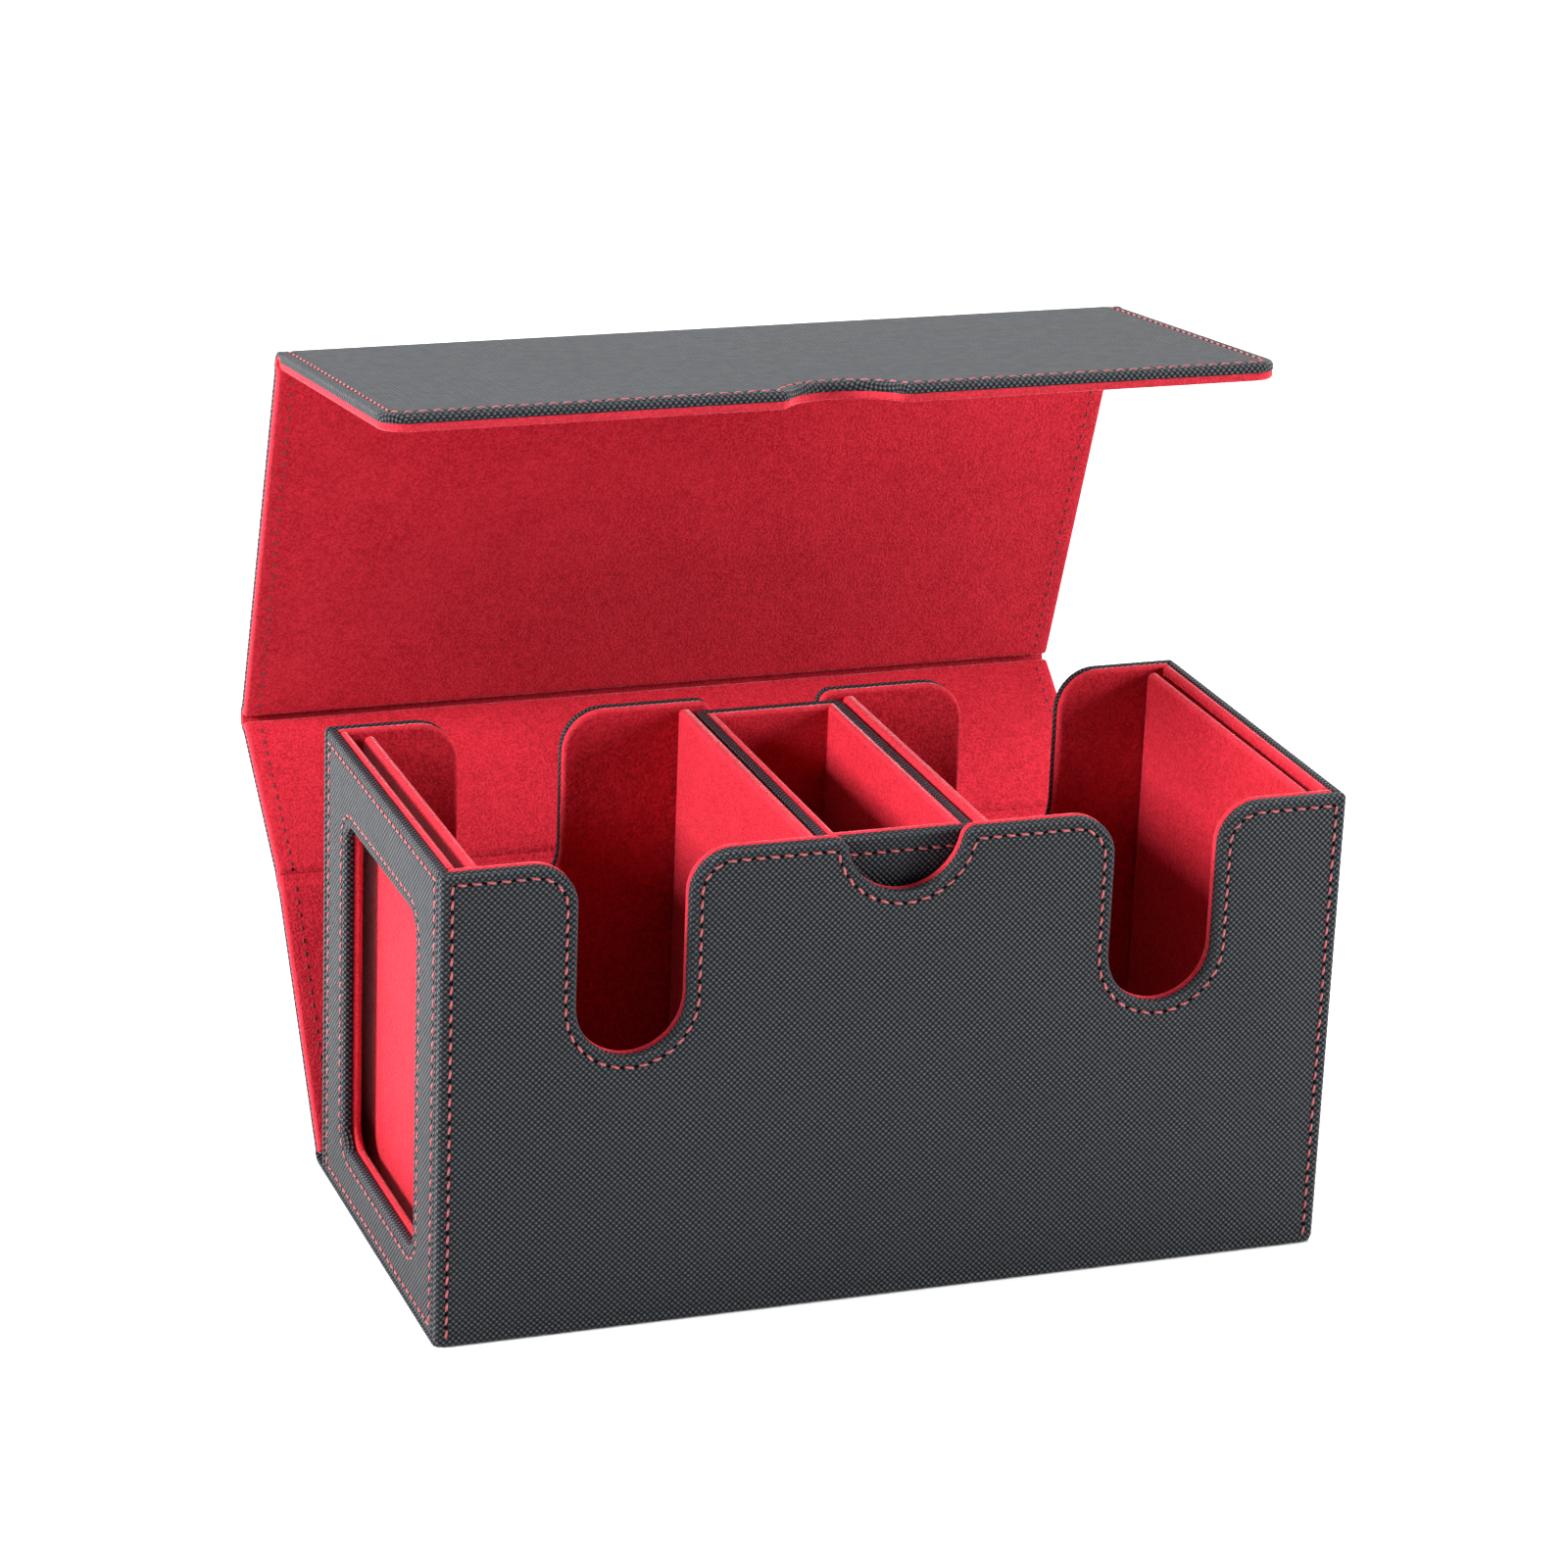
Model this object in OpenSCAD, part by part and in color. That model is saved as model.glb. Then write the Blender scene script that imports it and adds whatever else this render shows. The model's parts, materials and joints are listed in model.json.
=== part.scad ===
// Double deck box for cards, with a wrap-around lid shown open.
// X runs along the length, Y from front to back, Z up. The origin is the middle of the underside.

/* [Overall] */
// Length of the tray and of the lid, in mm
length = 202; // [170:0.5:240]
// Depth of the tray from front to back, in mm
depth = 94; // [78:0.5:112]
// Height of the tray, in mm
height = 106; // [90:0.5:124]

/* [Wall build-up] */
// Thickness of the leather, in mm
leather = 0.8; // [0.6:0.1:1.2]
// Thickness of the stiffening board in the walls and the lid, in mm
board = 1.4; // [1:0.1:2]
// Thickness of the board in the floor, in mm
floor_board = 1.6; // [1.2:0.1:2.4]
// Thickness of the suede-covered lining board in the tray, in mm
lining = 2.2; // [1.4:0.1:3]
// Thickness of the suede-covered lining board on the floor, in mm
floor_lining = 2; // [1.4:0.1:3]
// Thickness of the suede-covered lining board in the lid, in mm
lid_lining = 1.8; // [1.2:0.1:2.6]
// Thickness of plain suede where it wraps a thin board, in mm
suede = 0.7; // [0.5:0.1:1]

/* [Thumb cuts] */
// Distance of each thumb cut from the middle, in mm
cut_x = 59.5; // [50:0.5:66]
// Radius of the round bottom of a thumb cut, in mm
cut_r = 12; // [8:0.5:15]
// Depth of a thumb cut below the rim, in mm
cut_deep = 44; // [30:0.5:60]
// Radius of the shoulders of a thumb cut, in mm
cut_shoulder = 9.5; // [4:0.5:12]
// Radius of the middle scoop in the front and rear walls, in mm
scoop_r = 13.2; // [9:0.2:15]
// Depth of the middle scoop, in mm
scoop_deep = 13; // [8:0.5:15]
// Radius of the shoulders of the middle scoop, in mm
scoop_shoulder = 3.2; // [2:0.2:5]

/* [Windows] */
// Distance from the card window to the front and the rear of the end wall, in mm
window_side = 18.5; // [14:0.5:30]
// Height of the lower edge of the window above the table, in mm
window_low = 14; // [10:0.5:20]
// Distance from the rim down to the upper edge of the window, in mm
window_drop = 16; // [8:0.5:30]
// Corner radius of the window, in mm
window_r = 5; // [3:0.5:8]

/* [Dividers and loose panels] */
// Thickness of a fixed divider, in mm
divider = 3; // [2.4:0.1:4]
// How far the dividers end below the rim, in mm
divider_drop = 1; // [0:0.5:4]
// Thickness of a loose end panel, in mm
panel = 2.4; // [2:0.1:3.4]
// Width of the card slot behind the left panel, in mm
left_slot = 3.2; // [1.6:0.1:5]
// Width of the card slot behind the right panel, in mm
right_slot = 1.6; // [1:0.1:5]
// How far the loose panels end below the rim, in mm
panel_drop = 1; // [0:0.5:4]
// Corner radius of a loose panel, in mm
panel_r = 2; // [2:0.5:12]

/* [Accessory box] */
// Outside width of the accessory box, in mm
box_w = 35; // [28:0.5:42]
// Clearance on each side of the accessory box, in mm
box_gap = 0.5; // [0.2:0.1:1.5]
// Clearance of the box and the loose panels at the front and at the back, in mm
end_gap = 0.3; // [0.2:0.1:1]
// How far the accessory box ends below the rim, in mm
box_drop = 1.5; // [0:0.5:4]
// Outside corner radius of the accessory box, in mm
box_r = 2.5; // [1.5:0.5:4]

/* [Lid] */
// Space between the closed lid and the tray, in mm
lid_gap = 0.8; // [0.3:0.1:2]
// Distance from the hinge to the crease in the back of the lid, in mm
crease_at = 64.8; // [50:0.2:76]
// Length of the front flap, in mm
flap_len = 91; // [70:0.5:96]
// Corner radius at the front of the flap, in mm
flap_r = 6; // [3:0.5:10]
// Radius of the finger notch in the flap, in mm
notch_r = 14; // [10:0.5:16]
// Depth of the finger notch in the flap, in mm
notch_deep = 8.5; // [5:0.5:12]
// Radius of the shoulders of the finger notch, in mm
notch_shoulder = 3; // [2:0.5:5]
// Lean of the lower back of the lid, in degrees from upright
lean_lower = 35; // [10:1:60]
// Lean of the upper back of the lid, in degrees from upright
lean_upper = 52; // [20:1:70]
// Forward lean of the top of the lid, in degrees from upright
lean_top = 19; // [0:1:40]
// Forward lean of the flap, in degrees from upright
lean_flap = 83.5; // [60:0.5:100]

/* [Magnets] */
// Diameter of a magnet, in mm
magnet_d = 10; // [6:0.5:14]
// Distance of each magnet from the middle, in mm
magnet_x = 62; // [40:1:80]
// Distance of the magnets from the free edge of the flap, in mm
magnet_in = 11; // [9:0.5:20]

/* [Hidden] */
$fn = 96;
e = 0.01;
big = 400;
skin = leather + board;
wall = skin + lining;
floor_top = leather + floor_board + floor_lining;
window_w = depth - 2 * window_side;
window_h = height - window_low - window_drop;
in_x = length / 2 - wall;
in_y = depth / 2 - wall;
lid_t = leather + board + lid_lining;
lid_in = lid_t - leather / 2;
fold_r = leather / 2;
fold_back = lid_in + 0.3;
hinge_y = depth / 2 + lid_gap + lid_in;
hinge_z = leather / 2;
lid_up = height + lid_gap + lid_in - hinge_z;
upper_len = lid_up - crease_at;
top_len = 2 * hinge_y;
crease_y = hinge_y + crease_at * sin(lean_lower);
crease_z = hinge_z + crease_at * cos(lean_lower);
fold1_y = crease_y + upper_len * sin(lean_upper);
fold1_z = crease_z + upper_len * cos(lean_upper);
fold2_y = fold1_y - top_len * sin(lean_top);
fold2_z = fold1_z + top_len * cos(lean_top);
div_in = box_w / 2 + box_gap;
div_out = div_in + divider;
div_h = height - divider_drop - floor_top;
panel_h = height - panel_drop - floor_top;
panel_half = in_y - end_gap;
left_panel_x = -in_x + left_slot + panel / 2;
right_panel_x = in_x - right_slot - panel / 2;
box_top = height - box_drop;
box_half = in_y - end_gap;
magnet_v = flap_len - magnet_in;
magnet_z = hinge_z + lid_up - magnet_v;

LEATHER = [0.17, 0.17, 0.18];
INNER = [0.62, 0.5, 0.36];
RED = [0.72, 0.06, 0.05];
STEEL = [0.72, 0.73, 0.75];

// ---- helpers ----

// Stands a drawing made in x and z up as a plate from y0 to y0 + t.
module plate_y(y0, t) {
    translate([0, y0 + t, 0])
        rotate([90, 0, 0])
            linear_extrude(t)
                children();
}

// Stands a drawing made in y and z up as a plate from x0 to x0 + t.
module plate_x(x0, t) {
    translate([x0, 0, 0])
        rotate([90, 0, 90])
            linear_extrude(t)
                children();
}

// A rectangle with round corners, centred on the origin.
module round_rect(w, h, r) {
    square([w - 2 * r, h], center = true);
    square([w, h - 2 * r], center = true);
    for (a = [-1, 1])
        for (b = [-1, 1])
            translate([a * (w / 2 - r), b * (h / 2 - r)])
                circle(r = r);
}

// Points on an arc from angle a0 to a1 in n steps.
function arc(cx, cy, r, a0, a1, n) =
    [for (i = [0:n]) let (a = a0 + (a1 - a0) * i / n) [cx + r * cos(a), cy + r * sin(a)]];

// A round scoop with soft shoulders in the edge y = 0, reaching down. o grows it.
module edge_scoop(r, deep, sh, o) {
    up = r - deep;
    sx = sqrt((r + sh) * (r + sh) - (up + sh) * (up + sh));
    t = -asin((up + sh) / (r + sh));
    polygon(concat(
        [[sx, big]],
        arc(sx, -sh, sh - o, 90, 180 + t, 8),
        arc(0, up, r + o, t - 2, -178 - t, 44),
        arc(-sx, -sh, sh - o, -t, 90, 8),
        [[-sx, big]]
    ));
}

// A thumb cut with a round bottom and soft shoulders in the edge y = 0. o grows it.
module thumb_cut(o) {
    sx = cut_r + cut_shoulder;
    translate([0, cut_r - cut_deep])
        circle(r = cut_r + o);
    translate([-cut_r - o, cut_r - cut_deep])
        square([2 * (cut_r + o), cut_deep + big]);
    for (s = [-1, 1])
        difference() {
            translate([min(0, s * sx), -cut_shoulder])
                square([sx, cut_shoulder + big]);
            translate([s * sx, -cut_shoulder])
                circle(r = cut_shoulder - o);
        }
}

// The front and rear wall: from z0 up, o inside the outline at the rim, the ends and the cuts.
module long_wall(half, z0, o) {
    difference() {
        translate([-half, z0])
            square([2 * half, height - o - z0]);
        for (s = [-1, 1])
            translate([s * cut_x, height])
                thumb_cut(o);
        translate([0, height])
            edge_scoop(scoop_r, scoop_deep, scoop_shoulder, o);
    }
}

// The end wall with its card window. o insets the rim and the window.
module end_wall(half, z0, o) {
    difference() {
        translate([-half, z0])
            square([2 * half, height - o - z0]);
        translate([0, window_low + window_h / 2])
            round_rect(window_w + 2 * o, window_h + 2 * o, window_r + o);
    }
}

// The section of an upright board of thickness w with a round top, h high.
module round_top(w, h) {
    translate([-w / 2, 0])
        square([w, h - w / 2]);
    translate([0, h - w / 2])
        circle(r = w / 2);
}

// A loose panel seen from the end: only its two upper corners are round.
module panel_face(half, h, r) {
    translate([-half, 0])
        square([2 * half, h - r]);
    translate([-half + r, 0])
        square([2 * (half - r), h]);
    for (s = [-1, 1])
        translate([s * (half - r), h - r])
            circle(r = r);
}

// ---- tray ----

module base_leather() {
    color(LEATHER) {
        translate([-length / 2, -depth / 2, 0])
            cube([length, hinge_y + depth / 2, leather]);
        translate([-length / 2, hinge_y, hinge_z])
            rotate([0, 90, 0])
                cylinder(r = fold_r, h = length);
    }
}

module base_board() {
    color(INNER)
        translate([skin - length / 2, skin - depth / 2, leather])
            cube([length - 2 * skin, depth - 2 * skin, floor_board]);
}

module base_lining() {
    color(RED)
        translate([skin - length / 2, skin - depth / 2, leather + floor_board])
            cube([length - 2 * skin, depth - 2 * skin, floor_lining]);
}

// The leather of a long wall wraps the edges of its board. s is -1 in front and 1 behind.
module long_leather(s) {
    y0 = s < 0 ? -depth / 2 : depth / 2 - skin;
    yb = s < 0 ? y0 + leather : y0 - e;
    color(LEATHER)
        difference() {
            plate_y(y0, skin)
                long_wall(length / 2, leather, 0);
            plate_y(yb, board + e)
                long_wall(length / 2 - leather, 0, leather);
        }
}

module long_board(s) {
    y0 = s < 0 ? leather - depth / 2 : depth / 2 - skin;
    plate_y(y0, board)
        long_wall(length / 2 - leather, leather, leather);
}

module long_lining(s) {
    y0 = s < 0 ? skin - depth / 2 : depth / 2 - wall;
    color(RED)
        plate_y(y0, lining)
            long_wall(length / 2 - skin, floor_top, 0);
}

module magnet_pocket(y0) {
    for (s = [-1, 1])
        translate([s * magnet_x, y0, magnet_z])
            rotate([-90, 0, 0])
                cylinder(d = magnet_d + 0.2, h = board + 2);
}

module front_leather() {
    long_leather(-1);
}

module front_board() {
    color(INNER)
        difference() {
            long_board(-1);
            magnet_pocket(leather - depth / 2 - 1);
        }
}

module front_lining() {
    long_lining(-1);
}

module rear_leather() {
    long_leather(1);
}

module rear_board() {
    color(INNER)
        long_board(1);
}

module rear_lining() {
    long_lining(1);
}

// The leather of an end wall wraps its board at the rim, the ends and the window.
module end_leather(s) {
    x0 = s < 0 ? -length / 2 : length / 2 - skin;
    xb = s < 0 ? x0 + leather : x0 - e;
    half = depth / 2 - skin;
    color(LEATHER)
        difference() {
            plate_x(x0, skin)
                end_wall(half, leather, 0);
            plate_x(xb, board + e)
                end_wall(half - leather, 0, leather);
        }
}

module end_board(s) {
    x0 = s < 0 ? leather - length / 2 : length / 2 - skin;
    color(INNER)
        plate_x(x0, board)
            end_wall(depth / 2 - skin - leather, leather, leather);
}

module end_lining(s) {
    x0 = s < 0 ? skin - length / 2 : length / 2 - wall;
    color(RED)
        plate_x(x0, lining)
            end_wall(in_y, floor_top, 0);
}

module left_leather() {
    end_leather(-1);
}

module left_board() {
    end_board(-1);
}

module left_lining() {
    end_lining(-1);
}

module right_leather() {
    end_leather(1);
}

module right_board() {
    end_board(1);
}

module right_lining() {
    end_lining(1);
}

module front_magnet(s) {
    color(STEEL)
        translate([s * magnet_x, leather - depth / 2, magnet_z])
            rotate([-90, 0, 0])
                cylinder(d = magnet_d, h = board);
}

module front_magnet_left() {
    front_magnet(-1);
}

module front_magnet_right() {
    front_magnet(1);
}

// ---- dividers ----

module divider_board(s) {
    color(INNER)
        translate([s * (div_in + divider / 2), 0, floor_top])
            plate_y(-in_y, 2 * in_y)
                round_top(divider - 2 * suede, div_h - suede);
}

// The suede folds over the top of the divider board.
module divider_suede(s) {
    color(RED)
        translate([s * (div_in + divider / 2), 0, floor_top])
            plate_y(-in_y, 2 * in_y)
                difference() {
                    round_top(divider, div_h);
                    round_top(divider - 2 * suede, div_h - suede);
                }
}

module divider_left_board() {
    divider_board(-1);
}

module divider_left_suede() {
    divider_suede(-1);
}

module divider_right_board() {
    divider_board(1);
}

module divider_right_suede() {
    divider_suede(1);
}

// ---- loose end panels ----

module panel_board(x) {
    color(INNER)
        translate([x, 0, floor_top + suede])
            plate_x(suede - panel / 2, panel - 2 * suede)
                panel_face(panel_half - suede, panel_h - 2 * suede, panel_r - suede);
}

module panel_suede(x) {
    color(RED)
        translate([x, 0, floor_top])
            difference() {
                plate_x(-panel / 2, panel)
                    panel_face(panel_half, panel_h, panel_r);
                translate([0, 0, suede])
                    plate_x(suede - panel / 2, panel - 2 * suede)
                        panel_face(panel_half - suede, panel_h - 2 * suede, panel_r - suede);
            }
}

module left_panel_board() {
    panel_board(left_panel_x);
}

module left_panel_suede() {
    panel_suede(left_panel_x);
}

module right_panel_board() {
    panel_board(right_panel_x);
}

module right_panel_suede() {
    panel_suede(right_panel_x);
}

// ---- accessory box ----

// An upright block of the box's plan, inset by o, from z0 to z1.
module box_block(o, z0, z1) {
    translate([0, 0, z0])
        linear_extrude(z1 - z0)
            round_rect(box_w - 2 * o, 2 * (box_half - o), max(box_r - o, 0.4));
}

// The leather wraps the bottom, the sides and the rim of the board.
module box_leather() {
    color(LEATHER)
        difference() {
            box_block(0, floor_top, box_top);
            box_block(leather, floor_top + leather, box_top - leather);
            box_block(skin, floor_top + skin, box_top + 1);
        }
}

module box_board() {
    color(INNER)
        difference() {
            box_block(leather, floor_top + leather, box_top - leather);
            box_block(skin, floor_top + skin, box_top);
        }
}

module box_lining() {
    color(RED)
        difference() {
            box_block(skin, floor_top + skin, box_top);
            box_block(wall, floor_top + wall, box_top + 1);
        }
}

// ---- lid ----

// Places a panel of the lid: its drawing starts at the fold, z runs along it, y is its outside.
module panel_at(y, z, lean) {
    translate([0, y, z])
        rotate([-lean, 0, 0])
            children();
}

// The outline of a lid panel from v0 to v1, o inside its two long ends.
module lid_rect(v0, v1, o) {
    translate([o - length / 2, v0])
        square([length - 2 * o, v1 - v0]);
}

// The outline of the flap. o insets the ends, the free edge and the notch.
module flap_rect(v0, o) {
    v1 = flap_len - o;
    half = length / 2 - o;
    r = flap_r - o;
    difference() {
        union() {
            translate([-half, v0])
                square([2 * half, v1 - r - v0]);
            translate([r - half, v0])
                square([2 * (half - r), v1 - v0]);
            for (s = [-1, 1])
                translate([s * (half - r), v1 - r])
                    circle(r = r);
        }
        translate([0, flap_len])
            edge_scoop(notch_r, notch_deep, notch_shoulder, o);
    }
}

// The leather of a panel: a sheet, turned in round the board along both ends, with a round
// edge on the fold at its far end.
module lid_leather(v1, b0, b1) {
    color(LEATHER) {
        plate_y(-fold_r, leather)
            lid_rect(fold_r + 0.05, v1, 0);
        translate([-length / 2, 0, v1])
            rotate([0, 90, 0])
                cylinder(r = fold_r, h = length);
        for (s = [-1, 1])
            translate([s * (length / 2 - leather / 2), -fold_r - board / 2, (b0 + b1) / 2])
                cube([leather, board + e, b1 - b0], center = true);
    }
}

module lid_board(b0, b1) {
    color(INNER)
        plate_y(-fold_r - board, board)
            lid_rect(b0, b1, leather);
}

module lid_suede(b0, b1) {
    color(RED)
        plate_y(-lid_in, lid_lining)
            lid_rect(b0, b1, 0);
}

module cover_lower_leather() {
    panel_at(hinge_y, hinge_z, lean_lower)
        lid_leather(crease_at, 1.2, crease_at - 0.15);
}

module cover_lower_board() {
    panel_at(hinge_y, hinge_z, lean_lower)
        lid_board(1.2, crease_at - 0.15);
}

module cover_lower_lining() {
    panel_at(hinge_y, hinge_z, lean_lower)
        lid_suede(1.2, crease_at - 0.15);
}

module cover_upper_leather() {
    panel_at(crease_y, crease_z, lean_upper)
        lid_leather(upper_len, fold_r + 0.15, upper_len - fold_back);
}

module cover_upper_board() {
    panel_at(crease_y, crease_z, lean_upper)
        lid_board(fold_r + 0.15, upper_len - fold_back);
}

module cover_upper_lining() {
    panel_at(crease_y, crease_z, lean_upper)
        lid_suede(fold_r + 0.15, upper_len - fold_back);
}

module cover_top_leather() {
    panel_at(fold1_y, fold1_z, -lean_top)
        lid_leather(top_len, fold_back, top_len - fold_back);
}

module cover_top_board() {
    panel_at(fold1_y, fold1_z, -lean_top)
        lid_board(fold_back, top_len - fold_back);
}

module cover_top_lining() {
    panel_at(fold1_y, fold1_z, -lean_top)
        lid_suede(fold_back, top_len - fold_back);
}

// The flap's leather also turns in round its free edge and its finger notch.
module cover_flap_leather() {
    color(LEATHER)
        panel_at(fold2_y, fold2_z, -lean_flap) {
            plate_y(-fold_r, leather)
                difference() {
                    flap_rect(fold_r + 0.05, 0);
                }
            plate_y(-fold_r - board, board + e)
                difference() {
                    flap_rect(fold_back, 0);
                    flap_rect(fold_back - 1, leather);
                }
        }
}

module flap_pocket() {
    for (s = [-1, 1])
        translate([s * magnet_x, -fold_r - board - 1, magnet_v])
            rotate([-90, 0, 0])
                cylinder(d = magnet_d + 0.2, h = board + 2);
}

module cover_flap_board() {
    color(INNER)
        panel_at(fold2_y, fold2_z, -lean_flap)
            difference() {
                plate_y(-fold_r - board, board)
                    flap_rect(fold_back, leather);
                flap_pocket();
            }
}

module cover_flap_lining() {
    color(RED)
        panel_at(fold2_y, fold2_z, -lean_flap)
            plate_y(-lid_in, lid_lining)
                flap_rect(fold_back, 0);
}

module flap_magnet(s) {
    color(STEEL)
        panel_at(fold2_y, fold2_z, -lean_flap)
            translate([s * magnet_x, -fold_r - board, magnet_v])
                rotate([-90, 0, 0])
                    cylinder(d = magnet_d, h = board);
}

module flap_magnet_left() {
    flap_magnet(-1);
}

module flap_magnet_right() {
    flap_magnet(1);
}

base_leather();
base_board();
base_lining();
front_leather();
front_board();
front_lining();
rear_leather();
rear_board();
rear_lining();
left_leather();
left_board();
left_lining();
right_leather();
right_board();
right_lining();
divider_left_board();
divider_left_suede();
divider_right_board();
divider_right_suede();
front_magnet_left();
front_magnet_right();
cover_lower_leather();
cover_lower_board();
cover_lower_lining();
cover_upper_leather();
cover_upper_board();
cover_upper_lining();
cover_top_leather();
cover_top_board();
cover_top_lining();
cover_flap_leather();
cover_flap_board();
cover_flap_lining();
flap_magnet_left();
flap_magnet_right();
box_leather();
box_board();
box_lining();
left_panel_board();
left_panel_suede();
right_panel_board();
right_panel_suede();
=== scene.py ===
# %% [markdown]
# # A double deck box for cards
# This lesson dresses a working model of a card box: a leather tray lined with
# suede, a lid that wraps round it in four panels, a lift-out box for dice and two
# loose end panels. The solids and joints come ready made as a frame. What is built
# here is everything the eye sees: wrapped leather edges, soft suede boards,
# thread, folds and light.

# %% Load the frame and keep its size
import json
import math

import bmesh
import bpy
from mathutils import Matrix, Vector
from mathutils.geometry import tessellate_polygon


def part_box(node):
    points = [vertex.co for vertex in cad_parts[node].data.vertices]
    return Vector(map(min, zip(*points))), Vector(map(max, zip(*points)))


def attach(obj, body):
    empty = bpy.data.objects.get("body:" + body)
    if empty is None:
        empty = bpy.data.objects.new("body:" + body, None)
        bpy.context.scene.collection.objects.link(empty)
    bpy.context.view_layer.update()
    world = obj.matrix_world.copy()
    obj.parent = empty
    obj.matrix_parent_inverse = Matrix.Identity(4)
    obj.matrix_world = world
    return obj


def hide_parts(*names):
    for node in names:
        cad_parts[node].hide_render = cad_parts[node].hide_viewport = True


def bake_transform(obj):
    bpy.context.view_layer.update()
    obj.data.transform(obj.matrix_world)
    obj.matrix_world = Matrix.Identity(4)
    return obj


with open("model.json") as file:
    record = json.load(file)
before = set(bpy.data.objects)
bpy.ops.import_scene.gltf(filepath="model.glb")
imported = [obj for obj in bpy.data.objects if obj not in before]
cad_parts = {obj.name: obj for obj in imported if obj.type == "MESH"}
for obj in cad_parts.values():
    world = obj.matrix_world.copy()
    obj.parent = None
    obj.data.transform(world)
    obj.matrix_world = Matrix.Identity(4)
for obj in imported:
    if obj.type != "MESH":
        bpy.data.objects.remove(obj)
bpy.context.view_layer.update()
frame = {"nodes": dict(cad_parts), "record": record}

# %% [markdown]
# ## Measures
# A box maker works from a few numbers: the outside of the tray, the build-up of a
# wall and the lines where the lid folds. The outside sizes are read from the
# frame, so the dressing follows the solids. All shapes are drawn in millimetres
# and turned into metres only when a mesh is made. Lights and camera are in metres.

# %% Sizes read from the frame, in millimetres
MM = 0.001


def node_mm(node):
    low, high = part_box(node)
    return [c / MM for c in low], [c / MM for c in high]


front_low, front_high = node_mm("front_leather")
lining_low, lining_high = node_mm("front_lining")
HALF_L = front_high[0]
HALF_D = -front_low[1]
RIM = front_high[2]
SKIN = front_high[1] - front_low[1]
LINING = lining_high[1] - lining_low[1]
WALL = SKIN + LINING
FLOOR = lining_low[2]
IN_X = HALF_L - WALL
IN_Y = HALF_D - WALL
print(f"tray {2 * HALF_L:.0f} x {2 * HALF_D:.0f} x {RIM:.0f}, wall {WALL:.1f}, floor {FLOOR:.1f}")

# %% Sizes of the cuts, the window and the sewing
CUT_X, CUT_R, CUT_DEEP, CUT_SHOULDER = 59.5, 12.0, 44.0, 9.5
SCOOP_R, SCOOP_DEEP, SCOOP_SHOULDER = 13.2, 13.0, 3.2
WINDOW_W, WINDOW_H, WINDOW_LOW, WINDOW_R = 57.0, 76.0, 14.0, 5.0
NOTCH_R, NOTCH_DEEP, NOTCH_SHOULDER = 14.0, 8.5, 3.0
FLAP_LEN, FLAP_R = 91.0, 6.0
SEAM_IN, SEAM_DEPTH = 2.5, 0.18
PITCH = 3.1
EDGE_R = 1.1
CORNER_STEPS = 6
print("thumb cut", 2 * CUT_R, "x", CUT_DEEP, "- window", WINDOW_W, "x", WINDOW_H, "- stitches every", PITCH)

# %% [markdown]
# ## Lines of the lid
# The lid is one long strip that bends at four lines. Each line is a joint of the
# frame, so its place is read from there. The lean of a panel is the angle
# between the panel and upright, positive towards the back.

# %% Fold lines and the lean of each panel
joints = {j["name"]: j for j in frame["record"]["behaviour"]["joints"]}


def joint_yz(name):
    _, y, z = joints[name]["pos_m"]
    return Vector((y / MM, z / MM))


HINGE, CREASE = joint_yz("back_hinge"), joint_yz("back_crease")
FOLD_TOP, FOLD_FLAP = joint_yz("top_fold"), joint_yz("flap_fold")


def lean(a, b):
    return math.atan2(b.x - a.x, b.y - a.y)


LEAN_LOWER = lean(HINGE, CREASE)
LEAN_UPPER = lean(CREASE, FOLD_TOP)
LEAN_TOP = lean(FOLD_TOP, FOLD_FLAP)
LEAN_FLAP = math.radians(-83.5)

# Levels of a lid panel, counted out from its fold line.
LID_HALF_LEATHER = 0.4  # face of the leather
LID_BOARD_LOW = -1.8  # back of the wrapped board
LID_FACE = -3.6  # face of the suede
LEANS = (LEAN_LOWER, LEAN_UPPER, LEAN_TOP, LEAN_FLAP)
print("leans:", [round(math.degrees(a), 1) for a in LEANS])


def along(start, angle, s, n=0.0):
    """The point s along a panel that leans by angle, n out from its leather."""
    t = Vector((math.sin(angle), math.cos(angle)))
    out = Vector((math.cos(angle), -math.sin(angle)))
    return start + s * t + n * out


# %% [markdown]
# ## Shader groups
# Real finishes repeat a few effects: an embossed weave, soft patches of tone and
# the nap of suede. Each is built once as a node group with named sockets and is
# then placed in every material that needs it. A group puts out only values; the
# Principled shader stays in the material.


# %% Small helpers for node trees
def new_group(name, inputs, outputs):
    """A shader node group with float or vector sockets, and its two end nodes."""
    print("group:", name, [i[0] for i in inputs], "->", [o[0] for o in outputs])
    g = bpy.data.node_groups.new(name, "ShaderNodeTree")
    kinds = {"f": "NodeSocketFloat", "v": "NodeSocketVector"}
    for side, items in (("INPUT", inputs), ("OUTPUT", outputs)):
        for label, kind, *value in items:
            s = g.interface.new_socket(name=label, in_out=side, socket_type=kinds[kind])
            if value:
                s.default_value = value[0]
    return g, g.nodes.new("NodeGroupInput"), g.nodes.new("NodeGroupOutput")


def wire(tree, node, **inputs):
    """Sets or links a node's inputs: i0 is the first one, and an underscore in a name is a space."""
    for key, value in inputs.items():
        numbered = key[0] == "i" and key[1:].isdigit()
        socket = node.inputs[int(key[1:]) if numbered else key.replace("_", " ")]
        if isinstance(value, bpy.types.NodeSocket):
            tree.links.new(value, socket)
        else:
            socket.default_value = value
    return node


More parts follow.
